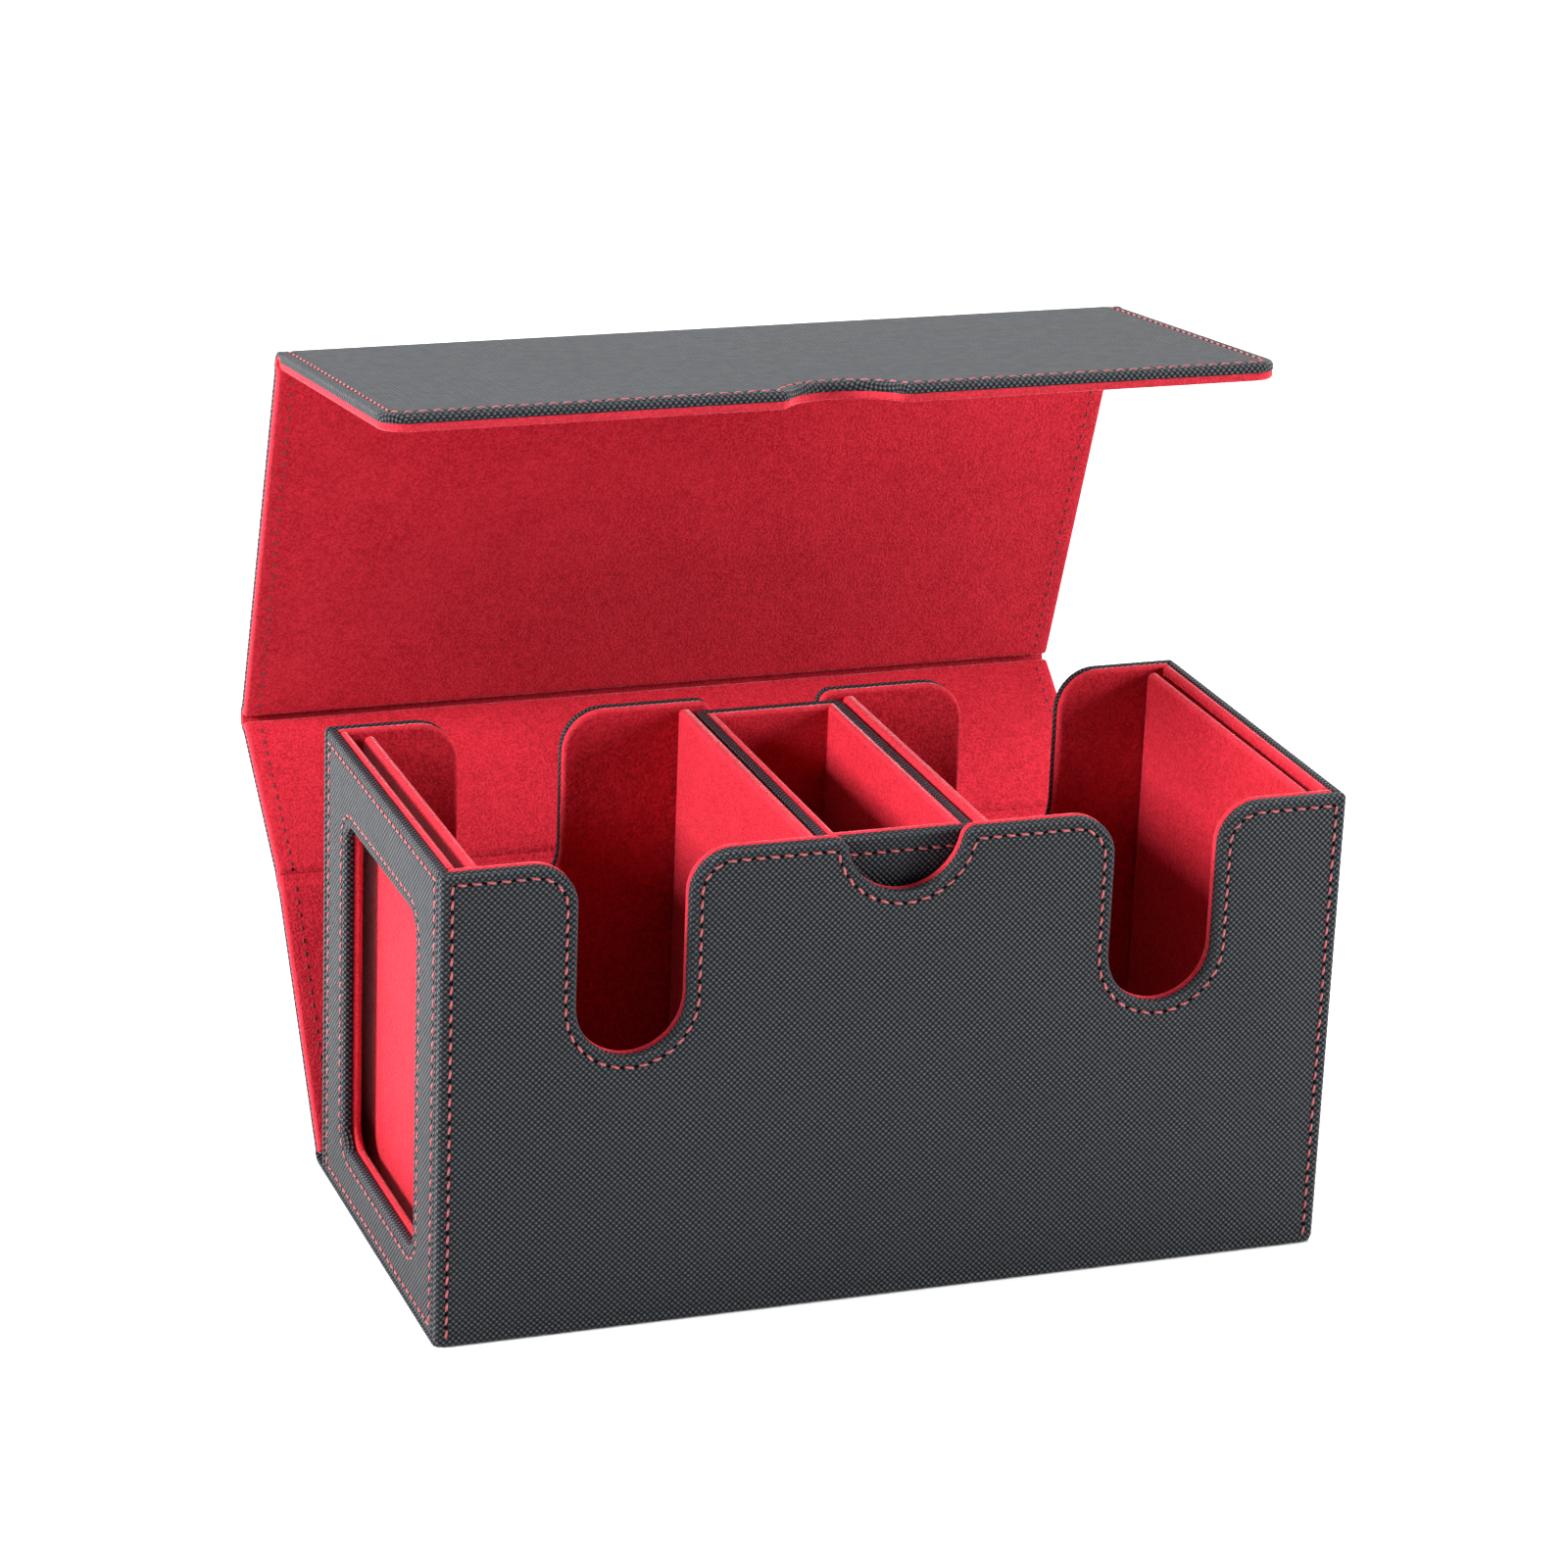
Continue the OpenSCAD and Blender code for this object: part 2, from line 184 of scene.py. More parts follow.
# %% Maths, ramps, noise and mixing
def maths(tree, operation, a, b=0.0, clamp=False):
    n = tree.nodes.new("ShaderNodeMath")
    n.operation, n.use_clamp = operation, clamp
    wire(tree, n, i0=a, i1=b)
    return n.outputs[0]


def ramp(tree, value, low, high, to_low=0.0, to_high=1.0):
    n = tree.nodes.new("ShaderNodeMapRange")
    n.interpolation_type = "SMOOTHSTEP"
    wire(tree, n, Value=value, From_Min=low, From_Max=high, To_Min=to_low, To_Max=to_high)
    return n.outputs["Result"]


def noise(tree, vector, scale, detail=3.0, rough=0.55):
    n = tree.nodes.new("ShaderNodeTexNoise")
    wire(tree, n, Vector=vector, Scale=scale, Detail=detail, Roughness=rough)
    return n.outputs["Fac"]


def mix_colour(tree, factor, a, b):
    n = tree.nodes.new("ShaderNodeMix")
    n.data_type = "RGBA"
    wire(tree, n, i0=factor, i6=a, i7=b)
    return n.outputs[2]


# %% [markdown]
# ### The embossed weave
# The leather is pressed with a fine basket pattern that runs at 45 degrees: small
# raised squares with a dark pit where four of them meet. Two cosine waves across
# each other give both. The pattern follows a flat map of the hide in
# millimetres, so it turns round an edge as one piece of leather does.


# %% Weave group
def make_weave():
    g, gin, gout = new_group(
        "Pressed weave",
        [("Hide", "v"), ("Pitch", "f", 0.96), ("Wander", "f", 0.12)],
        [("Height", "f"), ("Pit", "f"), ("Crown", "f")],
    )
    part = wire(g, g.nodes.new("ShaderNodeSeparateXYZ"), Vector=gin.outputs["Hide"])
    drift = maths(g, "SUBTRACT", noise(g, gin.outputs["Hide"], 0.35, 2.0), 0.5)
    drift = maths(g, "MULTIPLY", drift, gin.outputs["Wander"])
    across = maths(g, "ADD", maths(g, "ADD", part.outputs[0], part.outputs[1]), drift)
    down = maths(g, "ADD", maths(g, "SUBTRACT", part.outputs[0], part.outputs[1]), drift)
    step = maths(g, "DIVIDE", 2 * math.pi / math.sqrt(2), gin.outputs["Pitch"])
    a = maths(g, "COSINE", maths(g, "MULTIPLY", across, step))
    b = maths(g, "COSINE", maths(g, "MULTIPLY", down, step))
    total = maths(g, "MULTIPLY", maths(g, "ADD", a, b), 0.5)
    wire(g, gout, Height=maths(g, "MULTIPLY", total, 0.5))
    wire(g, gout, Pit=ramp(g, total, 0.05, -0.65))
    wire(g, gout, Crown=ramp(g, total, 0.30, 0.92))
    return g


WEAVE = make_weave()


# %% [markdown]
# ### Patches and nap
# Patches are slow changes of tone, from handling and from how the hide took the
# dye. Nap is the short fuzz of suede: very fine grain, plus areas where the pile
# has been brushed another way and looks lighter or darker.


# %% Patch and nap groups
def make_patches():
    g, gin, gout = new_group(
        "Slow patches", [("Place", "v"), ("Size", "f", 30.0)], [("Tone", "f"), ("Fine", "f")]
    )
    size = maths(g, "DIVIDE", 1000.0, gin.outputs["Size"])
    wire(g, gout, Tone=noise(g, gin.outputs["Place"], size, 3.0))
    wire(g, gout, Fine=noise(g, gin.outputs["Place"], maths(g, "MULTIPLY", size, 9.0), 2.0))
    return g


def make_nap():
    g, gin, gout = new_group(
        "Suede nap",
        [("Place", "v"), ("Fibre", "f", 0.55)],
        [("Height", "f"), ("Grain", "f"), ("Brushed", "f")],
    )
    size = maths(g, "DIVIDE", 1000.0, gin.outputs["Fibre"])
    fine = noise(g, gin.outputs["Place"], size, 2.0, 0.6)
    mid = noise(g, gin.outputs["Place"], maths(g, "MULTIPLY", size, 0.28), 3.0, 0.65)
    slow = noise(g, gin.outputs["Place"], maths(g, "MULTIPLY", size, 0.03), 3.0, 0.55)
    both = maths(g, "ADD", maths(g, "MULTIPLY", fine, 0.75), maths(g, "MULTIPLY", mid, 0.25))
    wire(g, gout, Height=both)
    wire(g, gout, Grain=ramp(g, both, 0.36, 0.64))
    wire(g, gout, Brushed=ramp(g, slow, 0.32, 0.68))
    return g


PATCHES, NAP = make_patches(), make_nap()


def place_group(tree, group, **inputs):
    n = tree.nodes.new("ShaderNodeGroup")
    n.node_tree = group
    return wire(tree, n, **inputs)


# %% [markdown]
# ## Materials
# The box has seven finishes: dark pressed leather, red suede, red thread, dark
# thread, the near black of a needle hole, which is painted shade, the plain board
# inside and the steel of the magnets. A vertex value called rim marks wrapped
# edges, where the leather is smoother and both leather and suede get a paler painted highlight.


# %% Material helpers
def new_material(name, base, roughness):
    print("material:", name)
    m = bpy.data.materials.new(name)
    m.use_nodes = True
    m.diffuse_color = (*base, 1.0)
    tree = m.node_tree
    bsdf = tree.nodes["Principled BSDF"]
    return m, tree, wire(tree, bsdf, Base_Color=(*base, 1.0), Roughness=roughness)


def object_place(tree):
    return tree.nodes.new("ShaderNodeTexCoord").outputs["Object"]


def rim_value(tree, share):
    """The rim value of the mesh, scaled to the share an effect may have."""
    n = tree.nodes.new("ShaderNodeAttribute")
    n.attribute_name = "rim"
    return maths(tree, "MULTIPLY", n.outputs["Fac"], share)


def bump(tree, bsdf, height, distance, strength=1.0):
    n = wire(tree, tree.nodes.new("ShaderNodeBump"), Height=height, Distance=distance, Strength=strength)
    wire(tree, bsdf, Normal=n.outputs["Normal"])


# %% [markdown]
# ### Pressed leather
# The dye is nearly black, with painted shade darker still in the pits and a grey
# painted highlight on the crowns. A picture of leather would repeat and blur close
# up, so the weave group is used instead: it places the painted shade in the pits,
# makes them dull, places the painted highlight on the crowns and gives the height of the bump. Slow patches
# change body and shine.


# %% Pressed leather
def make_leather():
    m, tree, bsdf = new_material("pressed_leather", (0.016, 0.018, 0.022), 0.42)
    hide = tree.nodes.new("ShaderNodeUVMap")
    hide.uv_map = "hide"
    weave = place_group(tree, WEAVE, Hide=hide.outputs["UV"], Pitch=0.96, Wander=0.12)
    patch = place_group(tree, PATCHES, Place=object_place(tree), Size=28.0)
    body = mix_colour(tree, patch.outputs["Tone"], (0.007, 0.009, 0.012, 1), (0.013, 0.016, 0.020, 1))
    # Painted shade: the pits are mixed towards near black.
    pit = mix_colour(tree, weave.outputs["Pit"], body, (0.001, 0.001, 0.0015, 1))
    # Painted highlight: the crowns are mixed towards a lighter grey.
    crown_highlight = mix_colour(tree, weave.outputs["Crown"], pit, (0.080, 0.091, 0.104, 1))
    # Painted highlight: the rim is mixed a little lighter.
    rim_highlight = mix_colour(tree, rim_value(tree, 0.15), crown_highlight, (0.020, 0.021, 0.025, 1))
    shine = ramp(tree, patch.outputs["Fine"], 0.3, 0.7, 0.40, 0.45)
    dull = maths(tree, "ADD", shine, maths(tree, "MULTIPLY", weave.outputs["Pit"], 0.35))
    dull = maths(tree, "SUBTRACT", dull, rim_value(tree, 0.16))
    grain = maths(tree, "MULTIPLY", patch.outputs["Fine"], 0.06)
    bump(tree, bsdf, maths(tree, "ADD", weave.outputs["Height"], grain), 0.00036, 1.0)
    wire(tree, bsdf, Base_Color=rim_highlight, Roughness=dull, Specular_IOR_Level=0.16)
    return m


LEATHER = make_leather()

# %% [markdown]
# ### Red suede
# Suede is a mat of short fibres. Seen along the surface the fibre tips catch the
# light, which the sheen of the Principled shader does. Real hair would be far
# too heavy for boards this size. The nap group gives the grain and the brushed
# areas, and the rim is mixed towards a paler red, a painted highlight on the edge.


# %% Red suede
def make_suede():
    m, tree, bsdf = new_material("red_suede", (0.52, 0.010, 0.022), 0.95)
    nap = place_group(tree, NAP, Place=object_place(tree), Fibre=0.55)
    patch = place_group(tree, PATCHES, Place=object_place(tree), Size=26.0)
    pile = mix_colour(tree, nap.outputs["Grain"], (0.285, 0.0045, 0.0125, 1), (0.515, 0.016, 0.033, 1))
    combed = maths(tree, "MULTIPLY", nap.outputs["Brushed"], 0.14)
    brushed = mix_colour(tree, combed, pile, (0.60, 0.026, 0.044, 1))
    shade = ramp(tree, patch.outputs["Tone"], 0.35, 0.7, 0.0, 0.10)
    shaded = mix_colour(tree, shade, brushed, (0.28, 0.005, 0.012, 1))
    # Painted highlight: the rim is mixed towards a paler red.
    cut = mix_colour(tree, rim_value(tree, 0.18), shaded, (0.50, 0.05, 0.07, 1))
    bump(tree, bsdf, nap.outputs["Height"], 0.00045, 0.8)
    wire(tree, bsdf, Base_Color=cut, Specular_IOR_Level=0.15)
    wire(tree, bsdf, Sheen_Weight=0.34, Sheen_Roughness=0.24, Sheen_Tint=(1.0, 0.76, 0.80, 1.0))
    return m


SUEDE = make_suede()

# %% [markdown]
# ### Threads, needle holes, board and steel
# A thread is a few strands twisted together. Modelling the strands would multiply
# the faces of every stitch, so slanted bands of painted highlight and painted shade,
# with a bump, stand in for the twist. A needle hole is a dot of near black without
# shine, painted shade where the hole is. The board and the steel are seen only when
# a wall is cut open, so each has one simple patch.


# %% Threads and needle holes
def make_thread(name, dark, light, roughness):
    m, tree, bsdf = new_material(name, light, roughness)
    place = object_place(tree)
    twist = tree.nodes.new("ShaderNodeTexWave")
    twist.bands_direction = "DIAGONAL"
    wire(tree, twist, Vector=place, Scale=1500.0, Distortion=1.5, Detail=1.0)
    # The twist bands mix the dark and light colours as painted shade and painted highlight on the strands.
    tone = mix_colour(tree, twist.outputs["Fac"], (*dark, 1), (*light, 1))
    speck = ramp(tree, noise(tree, place, 420.0, 2.0), 0.35, 0.7, 0.0, 0.35)
    wire(tree, bsdf, Base_Color=mix_colour(tree, speck, tone, (*dark, 1)))
    bump(tree, bsdf, twist.outputs["Fac"], 0.0001, 0.8)
    return m


def make_hole_shade():
    # The whole dot is painted shade where the needle hole is.
    m, tree, bsdf = new_material("needle_hole_shade", (0.003, 0.003, 0.004), 0.95)
    speck = noise(tree, object_place(tree), 2600.0, 2.0)
    tone = mix_colour(tree, speck, (0.001, 0.001, 0.002, 1), (0.008, 0.006, 0.007, 1))
    wire(tree, bsdf, Base_Color=tone, Specular_IOR_Level=0.0)
    return m


RED_THREAD = make_thread("red_thread", (0.20, 0.014, 0.020), (0.60, 0.125, 0.13), 0.42)
HOLE_SHADE = make_hole_shade()
DARK_THREAD = make_thread("dark_thread", (0.05, 0.004, 0.006), (0.16, 0.012, 0.018), 0.7)


# %% Board and steel
def make_board():
    m, tree, bsdf = new_material("grey_board", (0.42, 0.36, 0.28), 0.9)
    patch = place_group(tree, PATCHES, Place=object_place(tree), Size=6.0)
    tone = mix_colour(tree, patch.outputs["Fine"], (0.34, 0.29, 0.22, 1), (0.50, 0.44, 0.35, 1))
    wire(tree, bsdf, Base_Color=tone)
    bump(tree, bsdf, patch.outputs["Fine"], 0.0002, 0.6)
    return m


def make_steel():
    m, tree, bsdf = new_material("plated_steel", (0.62, 0.62, 0.64), 0.28)
    patch = place_group(tree, PATCHES, Place=object_place(tree), Size=4.0)
    tone = mix_colour(tree, patch.outputs["Tone"], (0.55, 0.55, 0.57, 1), (0.68, 0.68, 0.70, 1))
    shine = ramp(tree, patch.outputs["Fine"], 0.3, 0.7, 0.22, 0.38)
    wire(tree, bsdf, Base_Color=tone, Roughness=shine, Metallic=1.0)
    return m


BOARD, STEEL = make_board(), make_steel()

# %% [markdown]
# ## Mesh helpers
# Nearly every piece is a board wrapped in something soft. Its outline is a
# function that can draw itself a little smaller, and its edge is a short profile
# of steps: how far in from the outline, and how deep below the face. Lofting the
# outline through the profile gives a plate whose edges are truly round.


# %% Turn lists into an object
def make_object(name, verts, faces, corners=None, rims=None, material=None, sharp=40.0):
    """verts in mm; corners are flat hide coordinates, one for each corner of each face."""
    me = bpy.data.meshes.new(name)
    me.from_pydata([Vector(v) * MM for v in verts], [], faces)
    if corners:
        flat = [c for face in corners for uv in face for c in uv]
        me.uv_layers.new(name="hide").data.foreach_set("uv", flat)
    if rims:
        me.attributes.new("rim", "FLOAT", "POINT").data.foreach_set("value", rims)
    bm = bmesh.new()
    bm.from_mesh(me)
    bmesh.ops.remove_doubles(bm, verts=bm.verts, dist=1e-7)
    bmesh.ops.recalc_face_normals(bm, faces=bm.faces)
    bm.to_mesh(me)
    bm.free()
    me.shade_smooth()
    me.set_sharp_from_angle(angle=math.radians(sharp))
    if material:
        me.materials.append(material)
    ob = bpy.data.objects.new(name, me)
    bpy.context.collection.objects.link(ob)
    return ob


# %% Loft outlines through an edge profile
def loft(name, outlines, profile, place, material, mapped=True, rim=None):
    """outlines: functions of an inset, each giving one closed loop of (a, b).
    profile: steps (inset, depth, hide inset). place turns (a, b, depth) into x, y, z."""
    verts, faces, corners, rims = [], [], [], []
    caps = [[], []]
    for outline in outlines:
        rings = []
        for inset, depth, flat in profile:
            loop, hide = outline(inset), outline(flat)
            rings.append((len(verts), hide))
            verts += [place(a, b, depth) for a, b in loop]
            rims += [rim(inset, depth) if rim else 0.0] * len(loop)
        for (i, hide_i), (j, hide_j) in zip(rings, rings[1:]):
            n = len(hide_i)
            for k in range(n):
                m = (k + 1) % n
                faces.append((i + k, i + m, j + m, j + k))
                corners.append((hide_i[k], hide_i[m], hide_j[m], hide_j[k]))
        for cap, (start, hide), step in ((caps[0], rings[0], profile[0]), (caps[1], rings[-1], profile[-1])):
            cap.append((start, outline(step[0]), hide))
    for cap in caps:
        at = [start + k for start, loop, _ in cap for k in range(len(loop))]
        hide = [uv for _, _, uvs in cap for uv in uvs]
        for tri in tessellate_polygon([[Vector((a, b, 0)) for a, b in loop] for _, loop, _ in cap]):
            faces.append(tuple(at[t] for t in tri))
            corners.append(tuple(hide[t] for t in tri))
    return make_object(name, verts, faces, corners if mapped else None, rims, material)


# %% Edge profiles
def quarter(r, inset, depth, flip=False, steps=6):
    """A quarter round that ends a face: from flat to upright, or back again."""
    turn = [math.pi / 2 * k / steps for k in range(steps + 1)]
    if flip:
        turn = turn[::-1]
    sign = -1 if flip else 1
    return [(inset + r * (1 - math.sin(a)), depth + sign * r * (1 - math.cos(a))) for a in turn]


def with_hide(steps, start):
    """Adds the hide inset: how far the flat leather reaches after following the steps."""
    out, used = [], start
    for k, (inset, depth) in enumerate(steps):
        if k:
            used -= math.hypot(inset - steps[k - 1][0], depth - steps[k - 1][1])
        out.append((inset, depth, used))
    return out


# %% Profiles of leather and suede
TROUGH_OUT, TROUGH_DIP = 1.3, 0.22


def trough(seam, dip=TROUGH_DIP):
    """The shallow dip along a row of stitches, from its inner side to its outer side."""
    offsets = (TROUGH_OUT, 0.0), (0.6, 0.35), (0.0, 1.0), (-0.6, 0.35), (-1.2, 0.0)
    return [(seam + off, dip * part) for off, part in offsets]


def leather_profile(thick):
    """From the trough over the round edge to the back of the sheet."""
    steps = trough(SEAM_IN) + quarter(EDGE_R, 0.0, 0.0)
    steps += quarter(0.4, 0.0, thick, flip=True, steps=3)
    return with_hide(steps, SEAM_IN + TROUGH_OUT)


def suede_profile(thick, edge):
    """Round on the face and, as far as the thickness allows, on the back."""
    back = min(edge, thick - edge)
    steps = [(edge + 1.5, 0.0)] + quarter(edge, 0.0, 0.0) + quarter(back, 0.0, thick, flip=True)
    return with_hide(steps, edge + 1.5)


def suede_rim(inset, depth):
    return 1.0 if inset < 0.45 else 0.5 if inset < 1.0 else 0.0


def leather_rim(inset, depth):
    return 1.0 if inset < 0.8 and depth < 0.9 else 0.0


print("leather edge steps:", len(leather_profile(SKIN)))

# %% [markdown]
# ## Outlines
# The front and rear walls share one outline: a rim with two deep thumb cuts and a
# shallow scoop in the middle. Drawn smaller by an inset, a hollow corner grows
# and a round shoulder shrinks, as parallel curves do. When the inset is larger
# than a shoulder, that shoulder turns into a sharp corner, which is also what
# the sewing does there.


# %% Arcs and corners
def arc(cx, cy, r, a0, a1, n):
    turn = [math.radians(a0 + (a1 - a0) * k / n) for k in range(n + 1)]
    return [(cx + r * math.cos(t), cy + r * math.sin(t)) for t in turn]


def corner(x, y, sx, sy, r, inset, a0, n=CORNER_STEPS):
    """A round convex corner at (x, y) that opens towards (sx, sy)."""
    c = max(r, inset)
    return arc(x + sx * c, y + sy * c, max(r - inset, 0.0), a0, a0 - 90, n)


SHOULDER_STEPS = 8


def scoop(cx, edge, r, deep, shoulder, inset, n=28):
    """Points of a scoop in a top edge, from left to right."""
    up = r - deep
    far = math.sqrt((r + shoulder) ** 2 - (up + shoulder) ** 2)
    t = -math.degrees(math.asin((up + shoulder) / (r + shoulder)))
    big = r + inset
    if inset < shoulder:
        left = arc(cx - far, edge - shoulder, shoulder - inset, 90, -t, SHOULDER_STEPS)
        right = arc(cx + far, edge - shoulder, shoulder - inset, 180 + t, 90, SHOULDER_STEPS)
    else:
        t = -math.degrees(math.asin((up + inset) / big))
        flat = big * math.cos(math.radians(t))
        left = [(cx - flat, edge - inset)] * (SHOULDER_STEPS + 1)
        right = [(cx + flat, edge - inset)] * (SHOULDER_STEPS + 1)
    return left + arc(cx, edge + up, big, 180 - t, 360 + t, n)[1:-1] + right


def thumb(cx, edge, inset, n=20):
    """Points of a thumb cut in a top edge, from left to right."""
    side = CUT_R + CUT_SHOULDER
    small = CUT_SHOULDER - inset
    left = arc(cx - side, edge - CUT_SHOULDER, small, 90, 0, 10)
    bottom = arc(cx, edge - CUT_DEEP + CUT_R, CUT_R + inset, 180, 360, n)
    right = arc(cx + side, edge - CUT_SHOULDER, small, 180, 90, 10)
    return left + bottom + right


# %% Outlines of the walls
def long_outline(half, low, r_low, r_top):
    """The front or rear wall as a closed loop, clockwise from its lower right corner."""

    def draw(inset):
        loop = corner(half, low, -1, 1, r_low, inset, 0) + corner(-half, low, 1, 1, r_low, inset, 270)
        loop += corner(-half, RIM, 1, -1, r_top, inset, 180)
        loop += thumb(-CUT_X, RIM, inset) + scoop(0, RIM, SCOOP_R, SCOOP_DEEP, SCOOP_SHOULDER, inset)
        loop += thumb(CUT_X, RIM, inset)
        loop += corner(half, RIM, -1, -1, r_top, inset, 90)
        return loop

    return draw


def rect_outline(x0, x1, y0, y1, radii):
    """A rectangle with its own radius at each corner: low left, high left, high right, low right."""
    ll, hl, hr, lr = radii

    def draw(inset):
        return (
            corner(x0, y0, 1, 1, ll, inset, 270)
            + corner(x0, y1, 1, -1, hl, inset, 180)
            + corner(x1, y1, -1, -1, hr, inset, 90)
            + corner(x1, y0, -1, 1, lr, inset, 0)
        )

    return draw


def window_outline(inset):
    """The hole of the window: it grows as the leather round it shrinks."""
    w, h, r = WINDOW_W / 2 - WINDOW_R, WINDOW_H / 2 - WINDOW_R, WINDOW_R + inset
    mid = WINDOW_LOW + WINDOW_H / 2
    loop = []
    for sx, sy, a in ((-1, -1, 270), (-1, 1, 180), (1, 1, 90), (1, -1, 360)):
        loop += arc(sx * w, mid + sy * h, r, a, a - 90, 8)
    return loop


# %% Places: where a drawing stands in the box
def facing_front(y0):
    return lambda a, b, d: (a, y0 + d, b)


def facing_back(y0):
    return lambda a, b, d: (a, y0 - d, b)


def facing_left(x0):
    return lambda a, b, d: (x0 + d, a, b)


def facing_right(x0):
    return lambda a, b, d: (x0 - d, a, b)


# %% [markdown]
# ## The tray's leather
# On the real box each wall board is wrapped in leather that turns round the rim,
# the cuts and the corners, and the front sheet runs on under the base. The front
# and rear walls reach from end to end, and the end walls stand between them.
# A shallow trough under each row of stitches is where the thread pulls the
# leather down.


# %% Leather of the four walls
def dress(piece, body, slot, *nodes):
    """Tells the frame which body carries a piece and hides the solids it stands for; slot, its finish, is not
    used.
    """
    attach(piece, body)
    if nodes:
        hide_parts(*nodes)
    print(f"{piece.name}: {len(piece.data.polygons)} faces, on {body}")


END_HALF = HALF_D - SKIN - 0.05
end_leather = rect_outline(-END_HALF, END_HALF, 0.9, RIM, (0.5, 0.8, 0.8, 0.5))
WALLS = {
    "front": ([long_outline(HALF_L, 0.0, 2.0, 1.2)], facing_front(-HALF_D)),
    "rear": ([long_outline(HALF_L, 0.9, 0.5, 1.2)], facing_back(HALF_D)),
    "left": ([end_leather, window_outline], facing_left(-HALF_L)),
    "right": ([end_leather, window_outline], facing_right(HALF_L)),
}
profile = leather_profile(SKIN)
for wall, (outlines, place) in WALLS.items():
    piece = loft(f"{wall}_wall_leather", outlines, profile, place, LEATHER, rim=leather_rim)
    dress(piece, "tray", "outer_leather", f"{wall}_leather")

# %% [markdown]
# ## The tray's suede
# Each lining is a thin board covered in suede, glued inside its wall a little
# after the leather. Its edge is fully round, so a fine dark line shows between
# leather and suede all along the rim.

# %% Wall linings
SUEDE_R = LINING / 2
LINED_X, LINED_Y = HALF_L - SKIN, HALF_D - SKIN
long_lining = long_outline(LINED_X, FLOOR, 0.5, 0.8)
end_lining = rect_outline(-IN_Y, IN_Y, FLOOR, RIM, (0.5, 0.6, 0.6, 0.5))
LININGS = {
    "front": ([long_lining], facing_back(-IN_Y)),
    "rear": ([long_lining], facing_front(IN_Y)),
    "left": ([end_lining, window_outline], facing_right(-IN_X)),
    "right": ([end_lining, window_outline], facing_left(IN_X)),
}
profile = suede_profile(LINING, SUEDE_R)
for wall, (outlines, place) in LININGS.items():
    piece = loft(f"{wall}_lining_suede", outlines, profile, place, SUEDE, rim=suede_rim)
    dress(piece, "tray", "red_suede", f"{wall}_lining")

# %% Floor lining
FLOOR_LINING, FLOOR_EDGE = 2.0, 0.6
floor_plan = rect_outline(-LINED_X, LINED_X, -LINED_Y, LINED_Y, (FLOOR_EDGE,) * 4)
floor_lining = loft("floor_lining_suede", [floor_plan], suede_profile(FLOOR_LINING, FLOOR_EDGE),
                    lambda a, b, d: (a, b, FLOOR - d), SUEDE, rim=suede_rim)
dress(floor_lining, "tray", "red_suede", "base_lining")

# %% [markdown]
# ## Dividers and loose panels
# The two fixed dividers and the two loose end panels are boards wrapped in suede
# all round, so their tops are soft and half round. The panels are a little
# shorter than the inside of the box, so a finger can lift them out.


# %% Suede boards that stand upright
def upright_suede(node, body, r_top, edge):
    """Dresses one standing board: r_top rounds its upper corners, edge rounds all its rims."""
    low, high = node_mm(node)
    outline = rect_outline(low[1], high[1], low[2], high[2], (0.8, r_top, r_top, 0.8))
    profile = suede_profile(high[0] - low[0], edge)
    piece = loft(f"{node}_skin", [outline], profile, facing_left(low[0]), SUEDE, rim=suede_rim)
    dress(piece, body, "red_suede", node)


for side in ("left", "right"):
    upright_suede(f"divider_{side}_suede", "tray", 0.9, 1.3)
    upright_suede(f"{side}_panel_suede", f"{side}_panel", 2.0, 1.2)

# %% [markdown]
# ## The accessory box
# A small tray of its own: leather outside, suede inside, with one row of stitches
# below its rim. Its plan is a rounded rectangle, so it gets a loft of its own that
# lies down: the profile runs up the outside, over the rim and down the inside.

# %% Plan and loft of the accessory box
box_low, box_high = node_mm("box_leather")
BOX_X, BOX_Y = box_high[0], box_high[1]
BOX_LOW, BOX_TOP = box_low[2], box_high[2]
BOX_SEAM = BOX_TOP - 4.0


box_outline = rect_outline(-BOX_X, BOX_X, -BOX_Y, BOX_Y, (2.5,) * 4)


def box_loft(name, steps, material, rim):
    """steps are (inset, height). The hide is mapped by distance round the box and by height."""
    verts, faces, corners, rims = [], [], [], []
    base, run = box_outline(0.0), [0.0]
    for p, q in zip(base, base[1:] + base[:1]):
        run.append(run[-1] + math.dist(p, q))
    n, rings, used = len(base), [], 0.0
    for k, (inset, height) in enumerate(steps):
        if k:
            used += math.hypot(inset - steps[k - 1][0], height - steps[k - 1][1])
        rings.append((len(verts), used))
        verts += [(a, b, height) for a, b in box_outline(inset)]
        rims += [rim(height)] * n
    for (i, v0), (j, v1) in zip(rings, rings[1:]):
        for k in range(n):
            m = (k + 1) % n
            faces.append((i + k, i + m, j + m, j + k))
            corners.append(((run[k], v0), (run[k + 1], v0), (run[k + 1], v1), (run[k], v1)))
    for start in (rings[0][0], rings[-1][0]):
        ring = tuple(range(start, start + n))
        faces.append(ring)
        corners.append(tuple((verts[r][0], verts[r][1]) for r in ring))
    return make_object(name, verts, faces, corners, rims, material)


print("accessory box:", round(2 * BOX_X, 1), "x", round(2 * BOX_Y, 1))


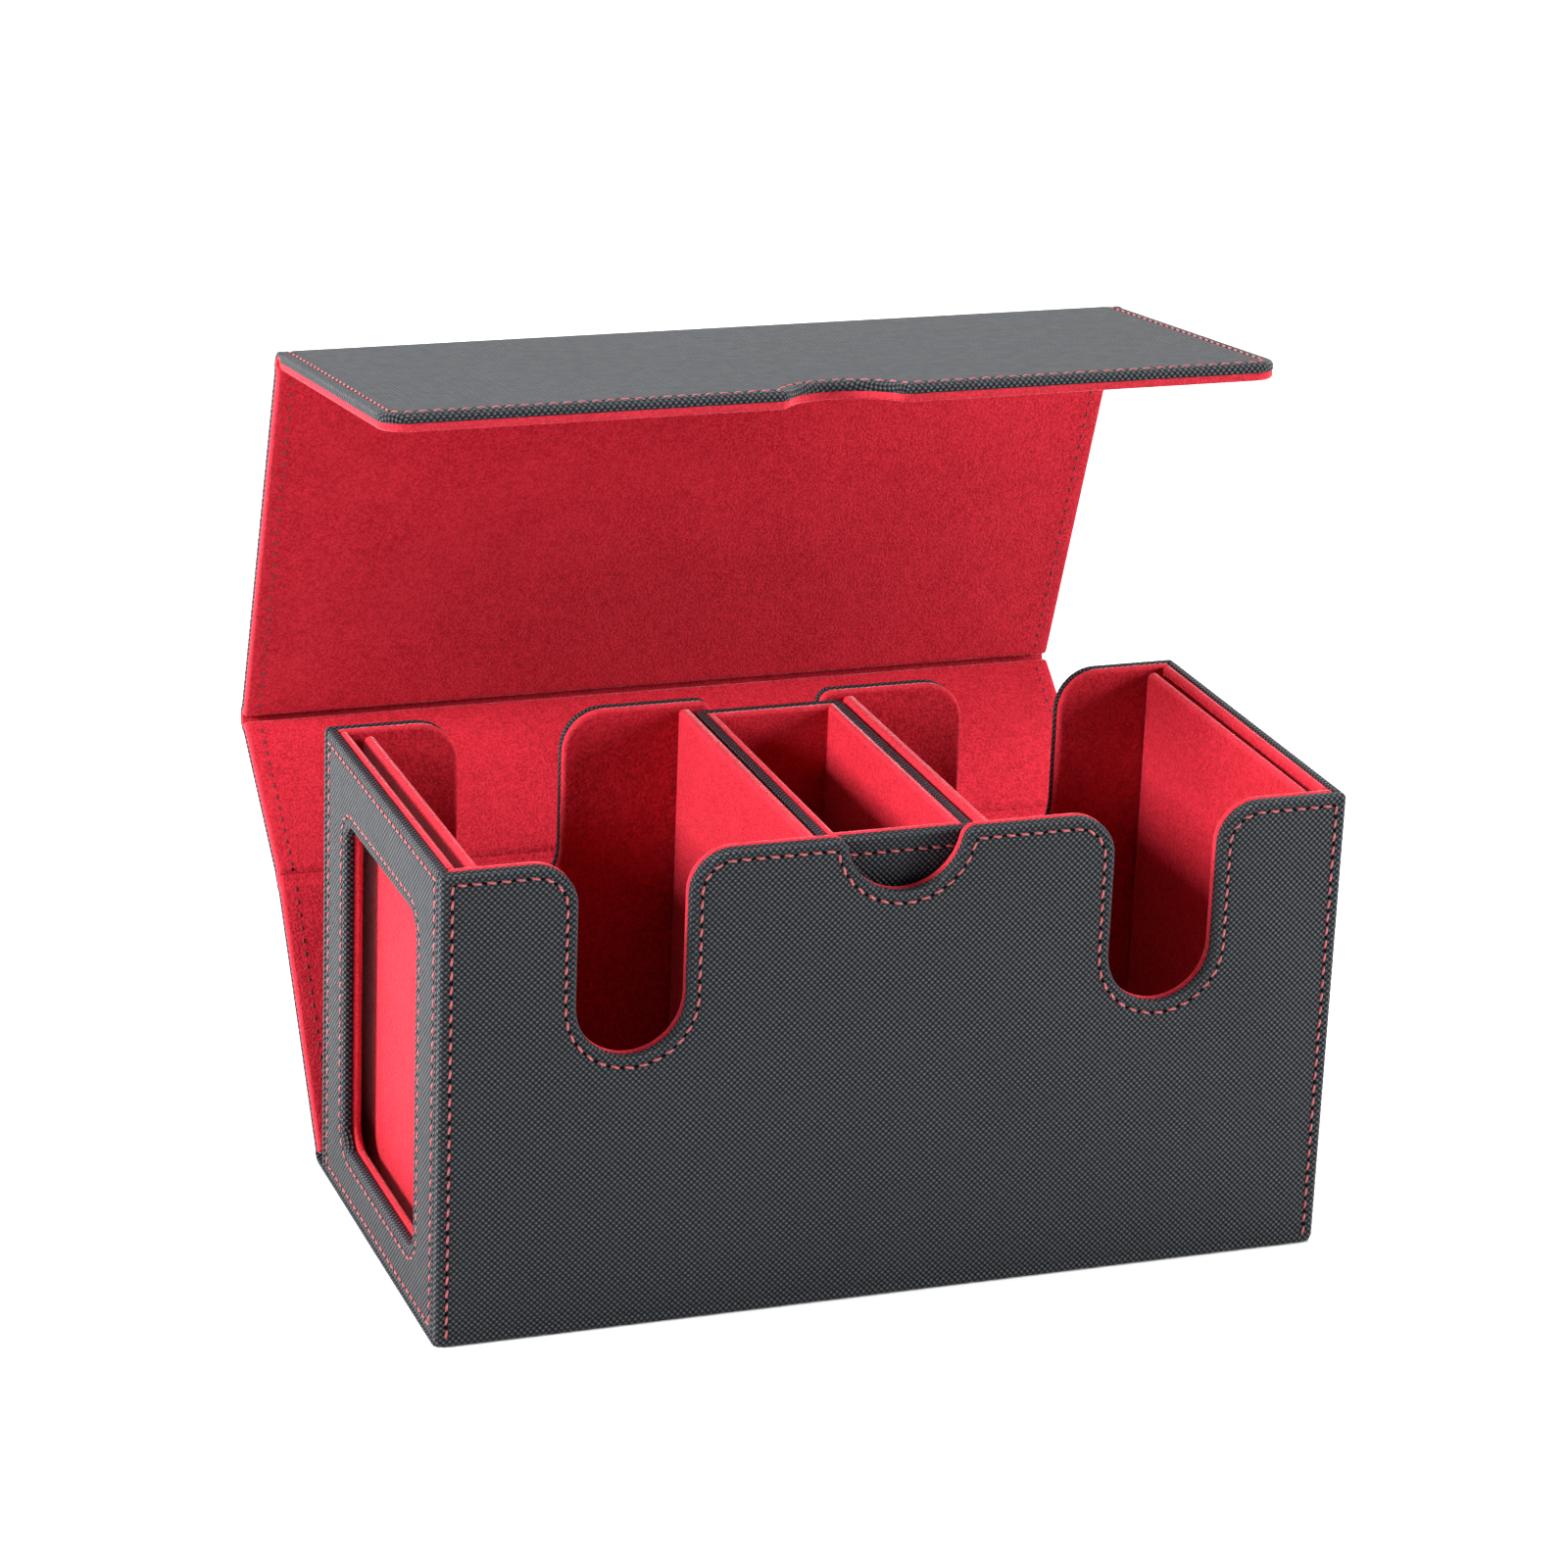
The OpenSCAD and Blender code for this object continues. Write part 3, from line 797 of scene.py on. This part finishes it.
# %% Leather and suede of the accessory box
def up_and_over(foot_r=0.8, inner_r=0.4):
    """Steps (inset, height) of the leather: the foot, the outside with its trough, the rim."""
    few = (0, 0.5, 1.0, math.pi / 2)
    foot = [(foot_r - foot_r * math.sin(a), BOX_LOW + foot_r - foot_r * math.cos(a)) for a in few]
    seam = [(dip, BOX_SEAM - off) for off, dip in trough(0.0, 0.2)]
    over = [(EDGE_R - EDGE_R * math.cos(a), BOX_TOP - EDGE_R + EDGE_R * math.sin(a))
            for a in (0, 0.3, 0.6, 0.9, 1.2, math.pi / 2)]
    inside = [(SKIN - inner_r + inner_r * math.sin(a), BOX_TOP - inner_r + inner_r * math.cos(a)) for a in few]
    return foot + seam + over + inside


inner_low = BOX_LOW + SKIN
box_leather = box_loft("accessory_box_leather", up_and_over() + [(SKIN, inner_low)], LEATHER,
                       lambda height: 1.0 if height > BOX_TOP - 0.8 else 0.0)
dress(box_leather, "accessory_box", "outer_leather", "box_leather")
suede_steps = [(WALL - 0.2, inner_low), (SKIN, inner_low), (SKIN, BOX_TOP - SUEDE_R)]
suede_steps += [(SKIN + SUEDE_R - SUEDE_R * math.cos(a), BOX_TOP - SUEDE_R + SUEDE_R * math.sin(a))
                for a in (0.4, 0.8, 1.2, math.pi / 2, 1.95, 2.35, 2.75, math.pi)]
suede_steps += [(WALL, inner_low + LINING + 0.4), (WALL + 0.4, inner_low + LINING)]
box_suede = box_loft("accessory_box_suede", suede_steps, SUEDE,
                     lambda height: 1.0 if height > BOX_TOP - 1.0 else 0.0)
dress(box_suede, "accessory_box", "red_suede", "box_lining")

# %% [markdown]
# ## The lid's leather
# The lid's cover is one strip of leather that starts under the base, turns up at
# the hinge and runs over four panels. A strip like this is easiest to draw as a
# section carried along a path. The path is straight on a panel and follows a
# small arc at a fold. Between the boards the strip is thin, so the section gets
# shallower there.


# %% Path of the strip
ZONE, TAPER = 5.0, 0.9
BASE_LOW, THIN_LOW = -0.4, -0.6


def fold_stations(corner_at, lean_in, lean_out, r, low_in, low_out, thin_in, thin_out, n=8):
    """Stations (point, lean, low side of the leather) through one fold."""
    turn = lean_out - lean_in
    reach = r * math.tan(abs(turn) / 2)
    start = along(corner_at, lean_in, -reach)
    sign = 1 if turn > 0 else -1
    out = []
    for s, low in ((-ZONE, low_in), (-thin_in - TAPER, low_in), (-thin_in, THIN_LOW)):
        out.append((along(corner_at, lean_in, s), lean_in, low))
    for k in range(n + 1):
        a = lean_in + turn * k / n
        step = Vector((math.cos(lean_in) - math.cos(a), math.sin(a) - math.sin(lean_in)))
        out.append((start + sign * r * step, a, THIN_LOW))
    for s, low in ((thin_out, THIN_LOW), (thin_out + TAPER, low_out), (ZONE, low_out)):
        out.append((along(corner_at, lean_out, s), lean_out, low))
    return out


# %% The four folds
# Corner, lean before and after, radius, low side before and after, thin stretch before and after.
FOLDS = {
    "hinge": (HINGE, math.pi / 2, LEAN_LOWER, 2.5, BASE_LOW, LID_BOARD_LOW, 2.0, 1.4),
    "crease": (CREASE, LEAN_LOWER, LEAN_UPPER, 7.0, LID_BOARD_LOW, LID_BOARD_LOW, 1.3, 1.3),
    "top_fold": (FOLD_TOP, LEAN_UPPER, LEAN_TOP, 3.2, LID_BOARD_LOW, LID_BOARD_LOW, 3.2, 3.2),
    "flap_fold": (FOLD_FLAP, LEAN_TOP, LEAN_FLAP, 3.2, LID_BOARD_LOW, LID_BOARD_LOW, 3.2, 3.2),
}
paths, used, last = {}, 0.0, None
for label, spec in FOLDS.items():
    row = []
    for point, a, low in fold_stations(*spec):
        used += (point - last).length if last is not None else 0.0
        last = point
        row.append((point, a, low, used))
    paths[label] = row
print("length of the strip from the hinge to the flap:", round(used, 1), "mm")


# %% Section of the strip
def strip_section(low):
    """Closed loop (x, out, hide, depth) across the strip, from the right seam round to the left one."""
    top = LID_HALF_LEATHER
    thick = top - low
    steps = trough(SEAM_IN) + quarter(min(EDGE_R, 0.48 * thick), 0.0, 0.0)
    steps += quarter(min(0.4, 0.3 * thick), 0.0, thick, flip=True, steps=3)
    right = [(HALF_L - i, top - d, HALF_L - h, d) for i, d, h in with_hide(steps, SEAM_IN + TROUGH_OUT)]
    return right + [(-x, n, -h, d) for x, n, h, d in reversed(right)]


def sweep(name, stations, section, material, rim=None, mapped=True):
    """Carries a section along stations of the strip and closes both ends."""
    verts, faces, corners, rims, loops = [], [], [], [], []
    for point, a, low, v in stations:
        loop = section(low)
        loops.append((len(verts), v, loop))
        out = Vector((math.cos(a), -math.sin(a)))
        for x, n, _, d in loop:
            p = point + n * out
            verts.append((x, p.x, p.y))
            rims.append(rim(abs(x), d) if rim else 0.0)
    for (i, v0, loop), (j, v1, _) in zip(loops, loops[1:]):
        count = len(loop)
        for k in range(count):
            m = (k + 1) % count
            faces.append((i + k, i + m, j + m, j + k))
            corners.append(((loop[k][2], v0), (loop[m][2], v0), (loop[m][2], v1), (loop[k][2], v1)))
    for start, _, loop in (loops[0], loops[-1]):
        faces.append(tuple(range(start, start + len(loop))))
        corners.append(tuple((p[2], p[1]) for p in loop))
    return make_object(name, verts, faces, corners if mapped else None, rims, material)


def strip_rim(x, d):
    return 1.0 if x > HALF_L - 0.8 and d < 0.9 else 0.0


# %% Leather of the folds and of the straight panels
def xyz(p):
    return (0.0, p.x * MM, p.y * MM)


def bend_at(piece, label):
    corner_at, lean_in, lean_out = FOLDS[label][:3]
    reach = ZONE - 0.4
    xyz(along(corner_at, lean_in, -reach))
    xyz(along(corner_at, lean_out, reach))
    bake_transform(piece)
    return piece


for label, row in paths.items():
    piece = sweep(f"{label}_leather", row, strip_section, LEATHER, strip_rim)
    bend_at(piece, label)

PANELS = {
    "lid_lower": ("hinge", "crease"),
    "lid_upper": ("crease", "top_fold"),
    "lid_top": ("top_fold", "flap_fold"),
}
panel_ends = {body: [paths[first][-1], paths[second][0]] for body, (first, second) in PANELS.items()}
for body, row in panel_ends.items():
    piece = sweep(f"{body}_leather", row, strip_section, LEATHER, strip_rim)
    dress(piece, body, "outer_leather", f"cover_{body[4:]}_leather")

# %% Leather under the base
BASE_EDGE, BASE_THICK = 0.35, 0.8
base_plan = rect_outline(-HALF_L, HALF_L, -HALF_D + 0.6, HINGE.x - ZONE, (1.5, 0, 0, 1.5))
base_steps = quarter(BASE_EDGE, 0.0, 0.0, steps=3) + quarter(BASE_EDGE, 0.0, BASE_THICK, flip=True, steps=3)
base_sheet = loft("base_leather_sheet", [base_plan], with_hide(base_steps, BASE_EDGE),
                  lambda a, b, d: (a, b, d), LEATHER, rim=leather_rim)
dress(base_sheet, "tray", "outer_leather", "base_leather")


# %% [markdown]
# ## The flap
# The last panel ends in a free edge with round corners and a finger notch, so it
# is lofted from an outline like the walls. Its straight side meets the strip at
# the fold, with the same section, so the leather runs on without a seam.


# %% Flap outline, leather and suede
def flap_outline(half, v0, free):
    """A flap from v0 along the panel to its free edge, clockwise from its right end at the fold."""

    def draw(inset):
        loop = [(half - inset, v0), (-half + inset, v0)]
        loop += corner(-half, free, 1, -1, FLAP_R, inset, 180, 10)
        loop += scoop(0, free, NOTCH_R, NOTCH_DEEP, NOTCH_SHOULDER, inset)
        loop += corner(half, free, -1, -1, FLAP_R, inset, 90, 10)
        return loop

    return draw


def on_panel(start, angle, top):
    """Place for a plate on a lid panel: b runs along the panel, d goes down from the face at top."""

    def place(a, b, d):
        p = along(start, angle, b, top - d if top > 0 else top + d)
        return (a, p.x, p.y)

    return place


flap_drawn = flap_outline(HALF_L, ZONE, FLAP_LEN)
flap_place = on_panel(FOLD_FLAP, LEAN_FLAP, LID_HALF_LEATHER)
flap_leather = loft("flap_leather", [flap_drawn], leather_profile(LID_HALF_LEATHER - LID_BOARD_LOW),
                    flap_place, LEATHER, rim=leather_rim)
shift = paths["flap_fold"][-1][3] - ZONE
for corner_uv in flap_leather.data.uv_layers["hide"].data:
    corner_uv.uv[1] += shift
dress(flap_leather, "lid_flap", "outer_leather", "cover_flap_leather")

# %% [markdown]
# ## The lid's suede
# The suede is one sheet over the boards of all four panels. At a fold it dives
# between the boards, so the open lid shows a thin dark line there. The sheet is
# carried along a path like the leather, with its face level given at each
# station. The stretches on the boards go with their panels; a stretch at a fold is not attached to a body.

# %% Path and section of the lid's suede
LID_SUEDE, LID_SUEDE_EDGE, LID_SUEDE_FLAT = LID_BOARD_LOW - LID_FACE, 0.9, 2.4
SUEDE_HALF = HALF_L - 0.1
LOWER_LEN, UPPER_LEN = (CREASE - HINGE).length, (FOLD_TOP - CREASE).length
TOP_LEN = (FOLD_FLAP - FOLD_TOP).length
SUEDE_ZONE = 4.7
ON_BOARD, IN_FOLD = -1.85, -0.66
FACE_TO_FOLD = (
    (SUEDE_ZONE, LID_FACE), (4.0, LID_FACE), (3.6, -3.54), (3.3, -3.38),
    (3.05, -3.05), (2.85, -2.55), (2.65, -1.9), (2.4, -1.35),
)
FACE_TO_CREASE = ((SUEDE_ZONE, LID_FACE), (2.2, LID_FACE), (1.5, -3.5), (0.9, -3.2), (0.45, -2.9))
print("panel lengths:", [round(v, 1) for v in (LOWER_LEN, UPPER_LEN, TOP_LEN, FLAP_LEN)])


def hidden_side(s, thin):
    """The side against the boards: level on a panel, close to the leather in a fold."""
    part = min(max((s - thin) / TAPER, 0.0), 1.0)
    return IN_FOLD + (ON_BOARD - IN_FOLD) * part


def suede_fold(label):
    """Stations of the suede through a fold: down into a narrow groove and up again."""
    corner_at, lean_in, lean_out, *_, thin = FOLDS[label]
    faces = FACE_TO_CREASE if label == "crease" else FACE_TO_FOLD
    bottom = faces[-1][1] + 0.05
    going_in = [(along(corner_at, lean_in, -s), lean_in, (hidden_side(s, thin), f)) for s, f in faces]
    arc_part = [(p, a, (IN_FOLD, bottom)) for p, a, *_ in paths[label][3:-3]]
    going_out = [(along(corner_at, lean_out, s), lean_out, (hidden_side(s, thin), f)) for s, f in faces[::-1]]
    return [(*st, 0.0) for st in going_in + arc_part[1:-1] + going_out]


def suede_section(levels):
    """Loop across the suede: round edges on the face, square against the board."""
    top, face = levels
    r = min(LID_SUEDE_EDGE, 0.45 * (top - face))
    steps = [(LID_SUEDE_FLAT, 0.0)] + quarter(r, 0.0, 0.0) + [(0.0, top - face)]
    right = [(SUEDE_HALF - i, face + d, 0.0, i) for i, d in steps]
    return right + [(-x, n, 0.0, i) for x, n, _, i in reversed(right)]


def side_rim(x, inset):
    return suede_rim(inset, 0.0)


# %% Suede panels and folds
suede_paths = {label: suede_fold(label) for label in ("crease", "top_fold", "flap_fold")}
for label, row in suede_paths.items():
    piece = sweep(f"{label}_suede", row, suede_section, SUEDE, side_rim, mapped=False)
    bend_at(piece, label)

LOW_EDGE = ((1.2, -2.9), (1.4, -3.3), (1.8, LID_FACE))
low_end = [(along(HINGE, LEAN_LOWER, s), LEAN_LOWER, (ON_BOARD, f), 0.0) for s, f in LOW_EDGE]
panel_rows = {
    "lid_lower": low_end + [suede_paths["crease"][0]],
    "lid_upper": [suede_paths["crease"][-1], suede_paths["top_fold"][0]],
    "lid_top": [suede_paths["top_fold"][-1], suede_paths["flap_fold"][0]],
}
for body, row in panel_rows.items():
    piece = sweep(f"{body}_suede", row, suede_section, SUEDE, side_rim, mapped=False)
    dress(piece, body, "red_suede", f"cover_{body[4:]}_lining")


flap_suede_drawn = flap_outline(SUEDE_HALF, SUEDE_ZONE, FLAP_LEN - 0.1)
flap_suede_place = on_panel(FOLD_FLAP, LEAN_FLAP, LID_FACE)
flap_steps = [(LID_SUEDE_FLAT, 0.0)] + quarter(LID_SUEDE_EDGE, 0.0, 0.0)
flap_steps += [(0.0, LID_SUEDE - 0.3), (0.1, LID_SUEDE)]
flap_suede = loft("flap_suede", [flap_suede_drawn], with_hide(flap_steps, LID_SUEDE_FLAT),
                  flap_suede_place, SUEDE, mapped=False, rim=suede_rim)
dress(flap_suede, "lid_flap", "red_suede", "cover_flap_lining")

# %% [markdown]
# ## Stitches
# A machine stitch is a short piece of thread that comes up through one hole and
# goes down through the next. Each one is made as a small bent tube, thick in the
# middle, whose ends dive into the trough. They sit at a slight angle to the row,
# as lock stitches in thick leather do. Between two stitches lies a small near black
# disc, just above the leather: painted shade for the hole the needle leaves. Cutting
# real holes would break up the smooth leather for dots that are a millimetre long.


# %% Stitches along a run
def resample(points, closed, start=0.5):
    """Evenly spaced (place, direction, normal) along a run; the first lies start steps in."""
    if closed:
        points = points + points[:1]
    at = [0.0]
    for (p, _), (q, _) in zip(points, points[1:]):
        at.append(at[-1] + (q - p).length)
    count = max(1, round(at[-1] / PITCH))
    step, out, k = at[-1] / count, [], 0
    for i in range(count):
        want = (i + start) * step
        while k < len(at) - 2 and at[k + 1] < want:
            k += 1
        (p, pn), (q, qn) = points[k], points[k + 1]
        t = (want - at[k]) / max(at[k + 1] - at[k], 1e-9)
        out.append((p.lerp(q, t), (q - p).normalized(), pn.lerp(qn, t).normalized()))
    return out


# %% One needle hole and one stitch
HOLE_SIDES, HOLE_LONG, HOLE_WIDE, HOLE_UP = 8, 0.50, 0.38, 0.07
RINGS, SIDES = 7, 6
DIVE, FLATTEN = 0.42, 0.8


def oval(middle, one, other, count):
    """count points round an oval whose half axes are the vectors one and other."""
    turn = [2 * math.pi * j / count for j in range(count)]
    return [middle + one * math.cos(a) + other * math.sin(a) for a in turn]


def add_hole(verts, faces, place, way, normal):
    side = way.cross(normal).normalized()
    faces.append(tuple(range(len(verts), len(verts) + HOLE_SIDES)))
    verts += oval(place + normal * HOLE_UP, way * HOLE_LONG, side * HOLE_WIDE, HOLE_SIDES)


def add_stitch(verts, faces, place, way, normal, long, r, tilt, lift):
    side = way.cross(normal).normalized()
    spin = Matrix.Rotation(math.radians(tilt), 3, normal)
    way, side = spin @ way, spin @ side
    base = len(verts)
    for i in range(RINGS):
        t = -1 + 2 * i / (RINGS - 1)
        mid = place + way * (t * long / 2) + normal * (lift - DIVE * abs(t) ** 3)
        fat = r * math.sqrt(max(1 - abs(t) ** 4, 0.12))
        verts += oval(mid, side * fat, normal * (FLATTEN * fat), SIDES)
    for a in range(base, base + (RINGS - 1) * SIDES, SIDES):
        for j in range(SIDES):
            m = (j + 1) % SIDES
            faces.append((a + j, a + m, a + SIDES + m, a + SIDES + j))
    for end in (base, base + (RINGS - 1) * SIDES):
        faces.append(tuple(range(end, end + SIDES)))


# %% Sew whole runs
def sew(name, runs, body=None, bend=None, material=RED_THREAD, slot="outer_leather",
        long=2.45, r=0.28, tilt=-9.0, lift=0.12):
    """runs: list of (points, closed). One mesh for all the stitches and the needle holes between them."""
    verts, faces, count = [], [], 0
    for points, closed in runs:
        for spot in resample(points, closed, 0.0):
            add_hole(verts, faces, *spot)
        for spot in resample(points, closed):
            add_stitch(verts, faces, *spot, long, r, tilt, lift)
            count += 1
    piece = make_object(name, verts, faces, material=material, sharp=80)
    # The needle hole discs get the near black of painted shade.
    piece.data.materials.append(HOLE_SHADE)
    for face in piece.data.polygons:
        face.material_index = 1 if len(face.vertices) == HOLE_SIDES else 0
    if bend:
        bend_at(piece, bend)
    else:
        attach(piece, body)
    print(f"{name}: {count} stitches")


def run_on(points, place, depth=SEAM_DEPTH):
    """A run of (place, normal) in millimetres from drawn points."""
    out = []
    for a, b in points:
        p, q = Vector(place(a, b, depth)), Vector(place(a, b, depth - 1.0))
        out.append((p, (q - p).normalized()))
    return out


# %% Stitches of the tray
def rim_run(outline, low):
    """The sewn line of a long wall: up one end, along the rim and its cuts, down the other."""
    loop = outline(SEAM_IN)
    lower_corners = 2 * (CORNER_STEPS + 1)
    path = loop[lower_corners - 1:] + loop[:1]
    return [(path[0][0], low)] + path + [(path[-1][0], low)]


SEAM_FOOT, WINDOW_SEAM_IN = 1.6, 3.0
long_seam = rim_run(WALLS["front"][0][0], SEAM_FOOT)
for wall, (outlines, place) in WALLS.items():
    if wall in ("front", "rear"):
        runs = [(run_on(long_seam, place), False)]
    else:
        drawn = (outlines[0](SEAM_IN), window_outline(WINDOW_SEAM_IN))
        runs = [(run_on(seam, place), True) for seam in drawn]
    sew(f"{wall}_stitches", runs, "tray")

# %% Stitches of the accessory box
ring = []
loop = box_outline(0.15)
for k, (a, b) in enumerate(loop):
    before, after = Vector(loop[k - 1]), Vector(loop[(k + 1) % len(loop)])
    t = after - before
    ring.append((Vector((a, b, BOX_SEAM)), Vector((-t.y, t.x, 0)).normalized()))
sew("accessory_box_stitches", [(ring, True)], "accessory_box")


# %% Stitches of the lid
def strip_runs(stations):
    """The two rows of a stretch of the strip, one near each side edge."""
    rows = {-1: [], 1: []}
    for point, a, *_ in stations:
        normal = Vector((math.cos(a), -math.sin(a)))
        p = point + (LID_HALF_LEATHER - SEAM_DEPTH) * normal
        for side, row in rows.items():
            row.append((Vector((side * (HALF_L - SEAM_IN), p.x, p.y)), Vector((0, normal.x, normal.y))))
    return [(row, False) for row in rows.values()]


def flap_run(outline, inset, place, depth=SEAM_DEPTH):
    """The row round the three free sides of the flap."""
    loop = outline(inset)
    return [(run_on(loop[1:] + loop[:1], place, depth), False)]


for label, row in paths.items():
    if label != "hinge":
        sew(f"{label}_stitches", strip_runs(row), bend=label)
for body, row in panel_ends.items():
    sew(f"{body}_stitches", strip_runs(row), body)
sew("flap_stitches", flap_run(flap_drawn, SEAM_IN, flap_place), "lid_flap")

# %% [markdown]
# ### The inner seam
# On the suede side the same seam shows its lower thread, which is dark and sinks
# into the pile. It stops before each fold, where the suede dives between the
# boards, so each row belongs to one stiff panel.

# %% Dark stitches on the suede side
INNER_SEAM, INNER_DEPTH = 3.4, 0.1
BOBBIN = dict(material=DARK_THREAD, slot="red_suede", long=1.8, r=0.26, tilt=0.0, lift=0.10)
INNER_ROWS = {
    "lid_lower": (HINGE, LEAN_LOWER, 3.0, LOWER_LEN - 1.2),
    "lid_upper": (CREASE, LEAN_UPPER, 1.2, UPPER_LEN - 4.6),
    "lid_top": (FOLD_TOP, LEAN_TOP, 4.6, TOP_LEN - 4.6),
}
inner_x = SUEDE_HALF - INNER_SEAM
for body, (start, angle, v0, v1) in INNER_ROWS.items():
    place = on_panel(start, angle, LID_FACE)
    runs = [(run_on([(x, v0), (x, v1)], place, INNER_DEPTH), False) for x in (-inner_x, inner_x)]
    sew(f"{body}_inner_stitches", runs, body, **BOBBIN)
inner_flap = flap_run(flap_suede_drawn, INNER_SEAM, flap_suede_place, INNER_DEPTH)
sew("flap_inner_stitches", inner_flap, "lid_flap", **BOBBIN)

# %% [markdown]
# ## The pieces inside
# The boards and the magnets are hidden in the wrapped parts. They stay as the
# frame has them and only get their finish, so a cut-away view is right too.

# %% Finish of the carried-over solids
for name, ob in frame["nodes"].items():
    finish = STEEL if "magnet" in name else BOARD if name.endswith("board") else None
    if finish:
        ob.data.materials.clear()
        ob.data.materials.append(finish)
        for s in ob.material_slots:
            s.material = finish
        print(name, "->", finish.name)

# %% [markdown]
# ## Floor, light and camera
# Dark goods are lit mostly from the sides and from behind, so that the leather
# shows its pattern in the sheen. The room is white and brightest behind the box.
# Its front gives hardly any light, which keeps the front leather dark. A small
# strong light at the left draws the weave and the window, a larger one at the
# right fills the front, and the widest hangs above and behind for the lid.


# %% Floor
FLOOR_HALF = 5.0


def make_floor():
    m, tree, bsdf = new_material("studio_floor", (0.86, 0.86, 0.86), 0.85)
    cloud = noise(tree, object_place(tree), 3.0)
    wire(tree, bsdf, Base_Color=mix_colour(tree, cloud, (0.85, 0.85, 0.85, 1), (0.87, 0.87, 0.87, 1)))
    me = bpy.data.meshes.new("studio_floor")
    s = FLOOR_HALF
    me.from_pydata([(-s, -s, 0), (s, -s, 0), (s, s, 0), (-s, s, 0)], [], [(0, 1, 2, 3)])
    me.materials.append(m)
    ob = bpy.data.objects.new("studio_floor", me)
    bpy.context.collection.objects.link(ob)


make_floor()


# %% Lights: place, width in metres, watts
MIDDLE = (0.0, 0.03, 0.09)
LIGHTS = {
    "left_light": ((-1.20, -0.02, 0.64), 0.30, 39.0),
    "right_light": ((1.20, -0.42, 0.44), 0.5, 28.0),
    "top_light": ((0.25, 0.50, 1.45), 0.8, 19.0),
}


def area_light(name, place, size, power):
    """A square light in metres and watts, turned to the middle of the box."""
    light = bpy.data.lights.new(name, "AREA")
    light.shape, light.size, light.energy = "SQUARE", size, power
    ob = bpy.data.objects.new(name, light)
    ob.location = place
    ob.rotation_euler = (Vector(MIDDLE) - Vector(place)).to_track_quat("-Z", "Y").to_euler()
    bpy.context.collection.objects.link(ob)
    print(f"{name}: {size} m wide, {power} W")


for name, (place, size, power) in LIGHTS.items():
    area_light(name, place, size, power)

# %% World
ROOM_FRONT, ROOM_BACK = 0.02, 1.45


def make_room():
    """A white room whose front side gives little light, as behind the camera in a studio."""
    print("world: strength", ROOM_FRONT, "in front and", ROOM_BACK, "at the back")
    world = bpy.data.worlds.new("white_room")
    world.use_nodes = True
    tree = world.node_tree
    way = tree.nodes.new("ShaderNodeSeparateXYZ")
    tree.links.new(tree.nodes.new("ShaderNodeTexCoord").outputs["Generated"], way.inputs[0])
    glow = ramp(tree, way.outputs[1], -0.75, 0.5, ROOM_FRONT, ROOM_BACK)
    seen = tree.nodes.new("ShaderNodeLightPath").outputs["Is Camera Ray"]
    tree.links.new(maths(tree, "MAXIMUM", glow, seen), tree.nodes["Background"].inputs["Strength"])
    tree.nodes["Background"].inputs["Color"].default_value = (1.0, 1.0, 1.0, 1.0)
    return world


bpy.context.scene.world = make_room()
bpy.context.scene.view_settings.view_transform = "Standard"

# %% Camera
TURN, RISE, ROLL = math.radians(-20.27), math.radians(19.94), math.radians(2.24)
DISTANCE, LENS = 1.075, 114.2
aim = Vector((-0.0108, 0.0, 0.1013))
back = Vector((math.sin(TURN) * math.cos(RISE), -math.cos(TURN) * math.cos(RISE), math.sin(RISE)))
right = Vector((math.cos(TURN), math.sin(TURN), 0.0))
up = back.cross(right)
side = right * math.cos(ROLL) + up * math.sin(ROLL)
over = up * math.cos(ROLL) - right * math.sin(ROLL)
cam = bpy.data.objects.new("camera", bpy.data.cameras.new("camera"))
cam.data.lens, cam.data.sensor_width = LENS, 36.0
cam.data.clip_start, cam.data.clip_end = 0.01, 20.0
spot = aim + back * DISTANCE
cam.matrix_world = Matrix((
    (side.x, over.x, back.x, spot.x),
    (side.y, over.y, back.y, spot.y),
    (side.z, over.z, back.z, spot.z),
    (0.0, 0.0, 0.0, 1.0),
))
bpy.context.collection.objects.link(cam)
bpy.context.scene.camera = cam
print("camera at", [round(c, 3) for c in spot])
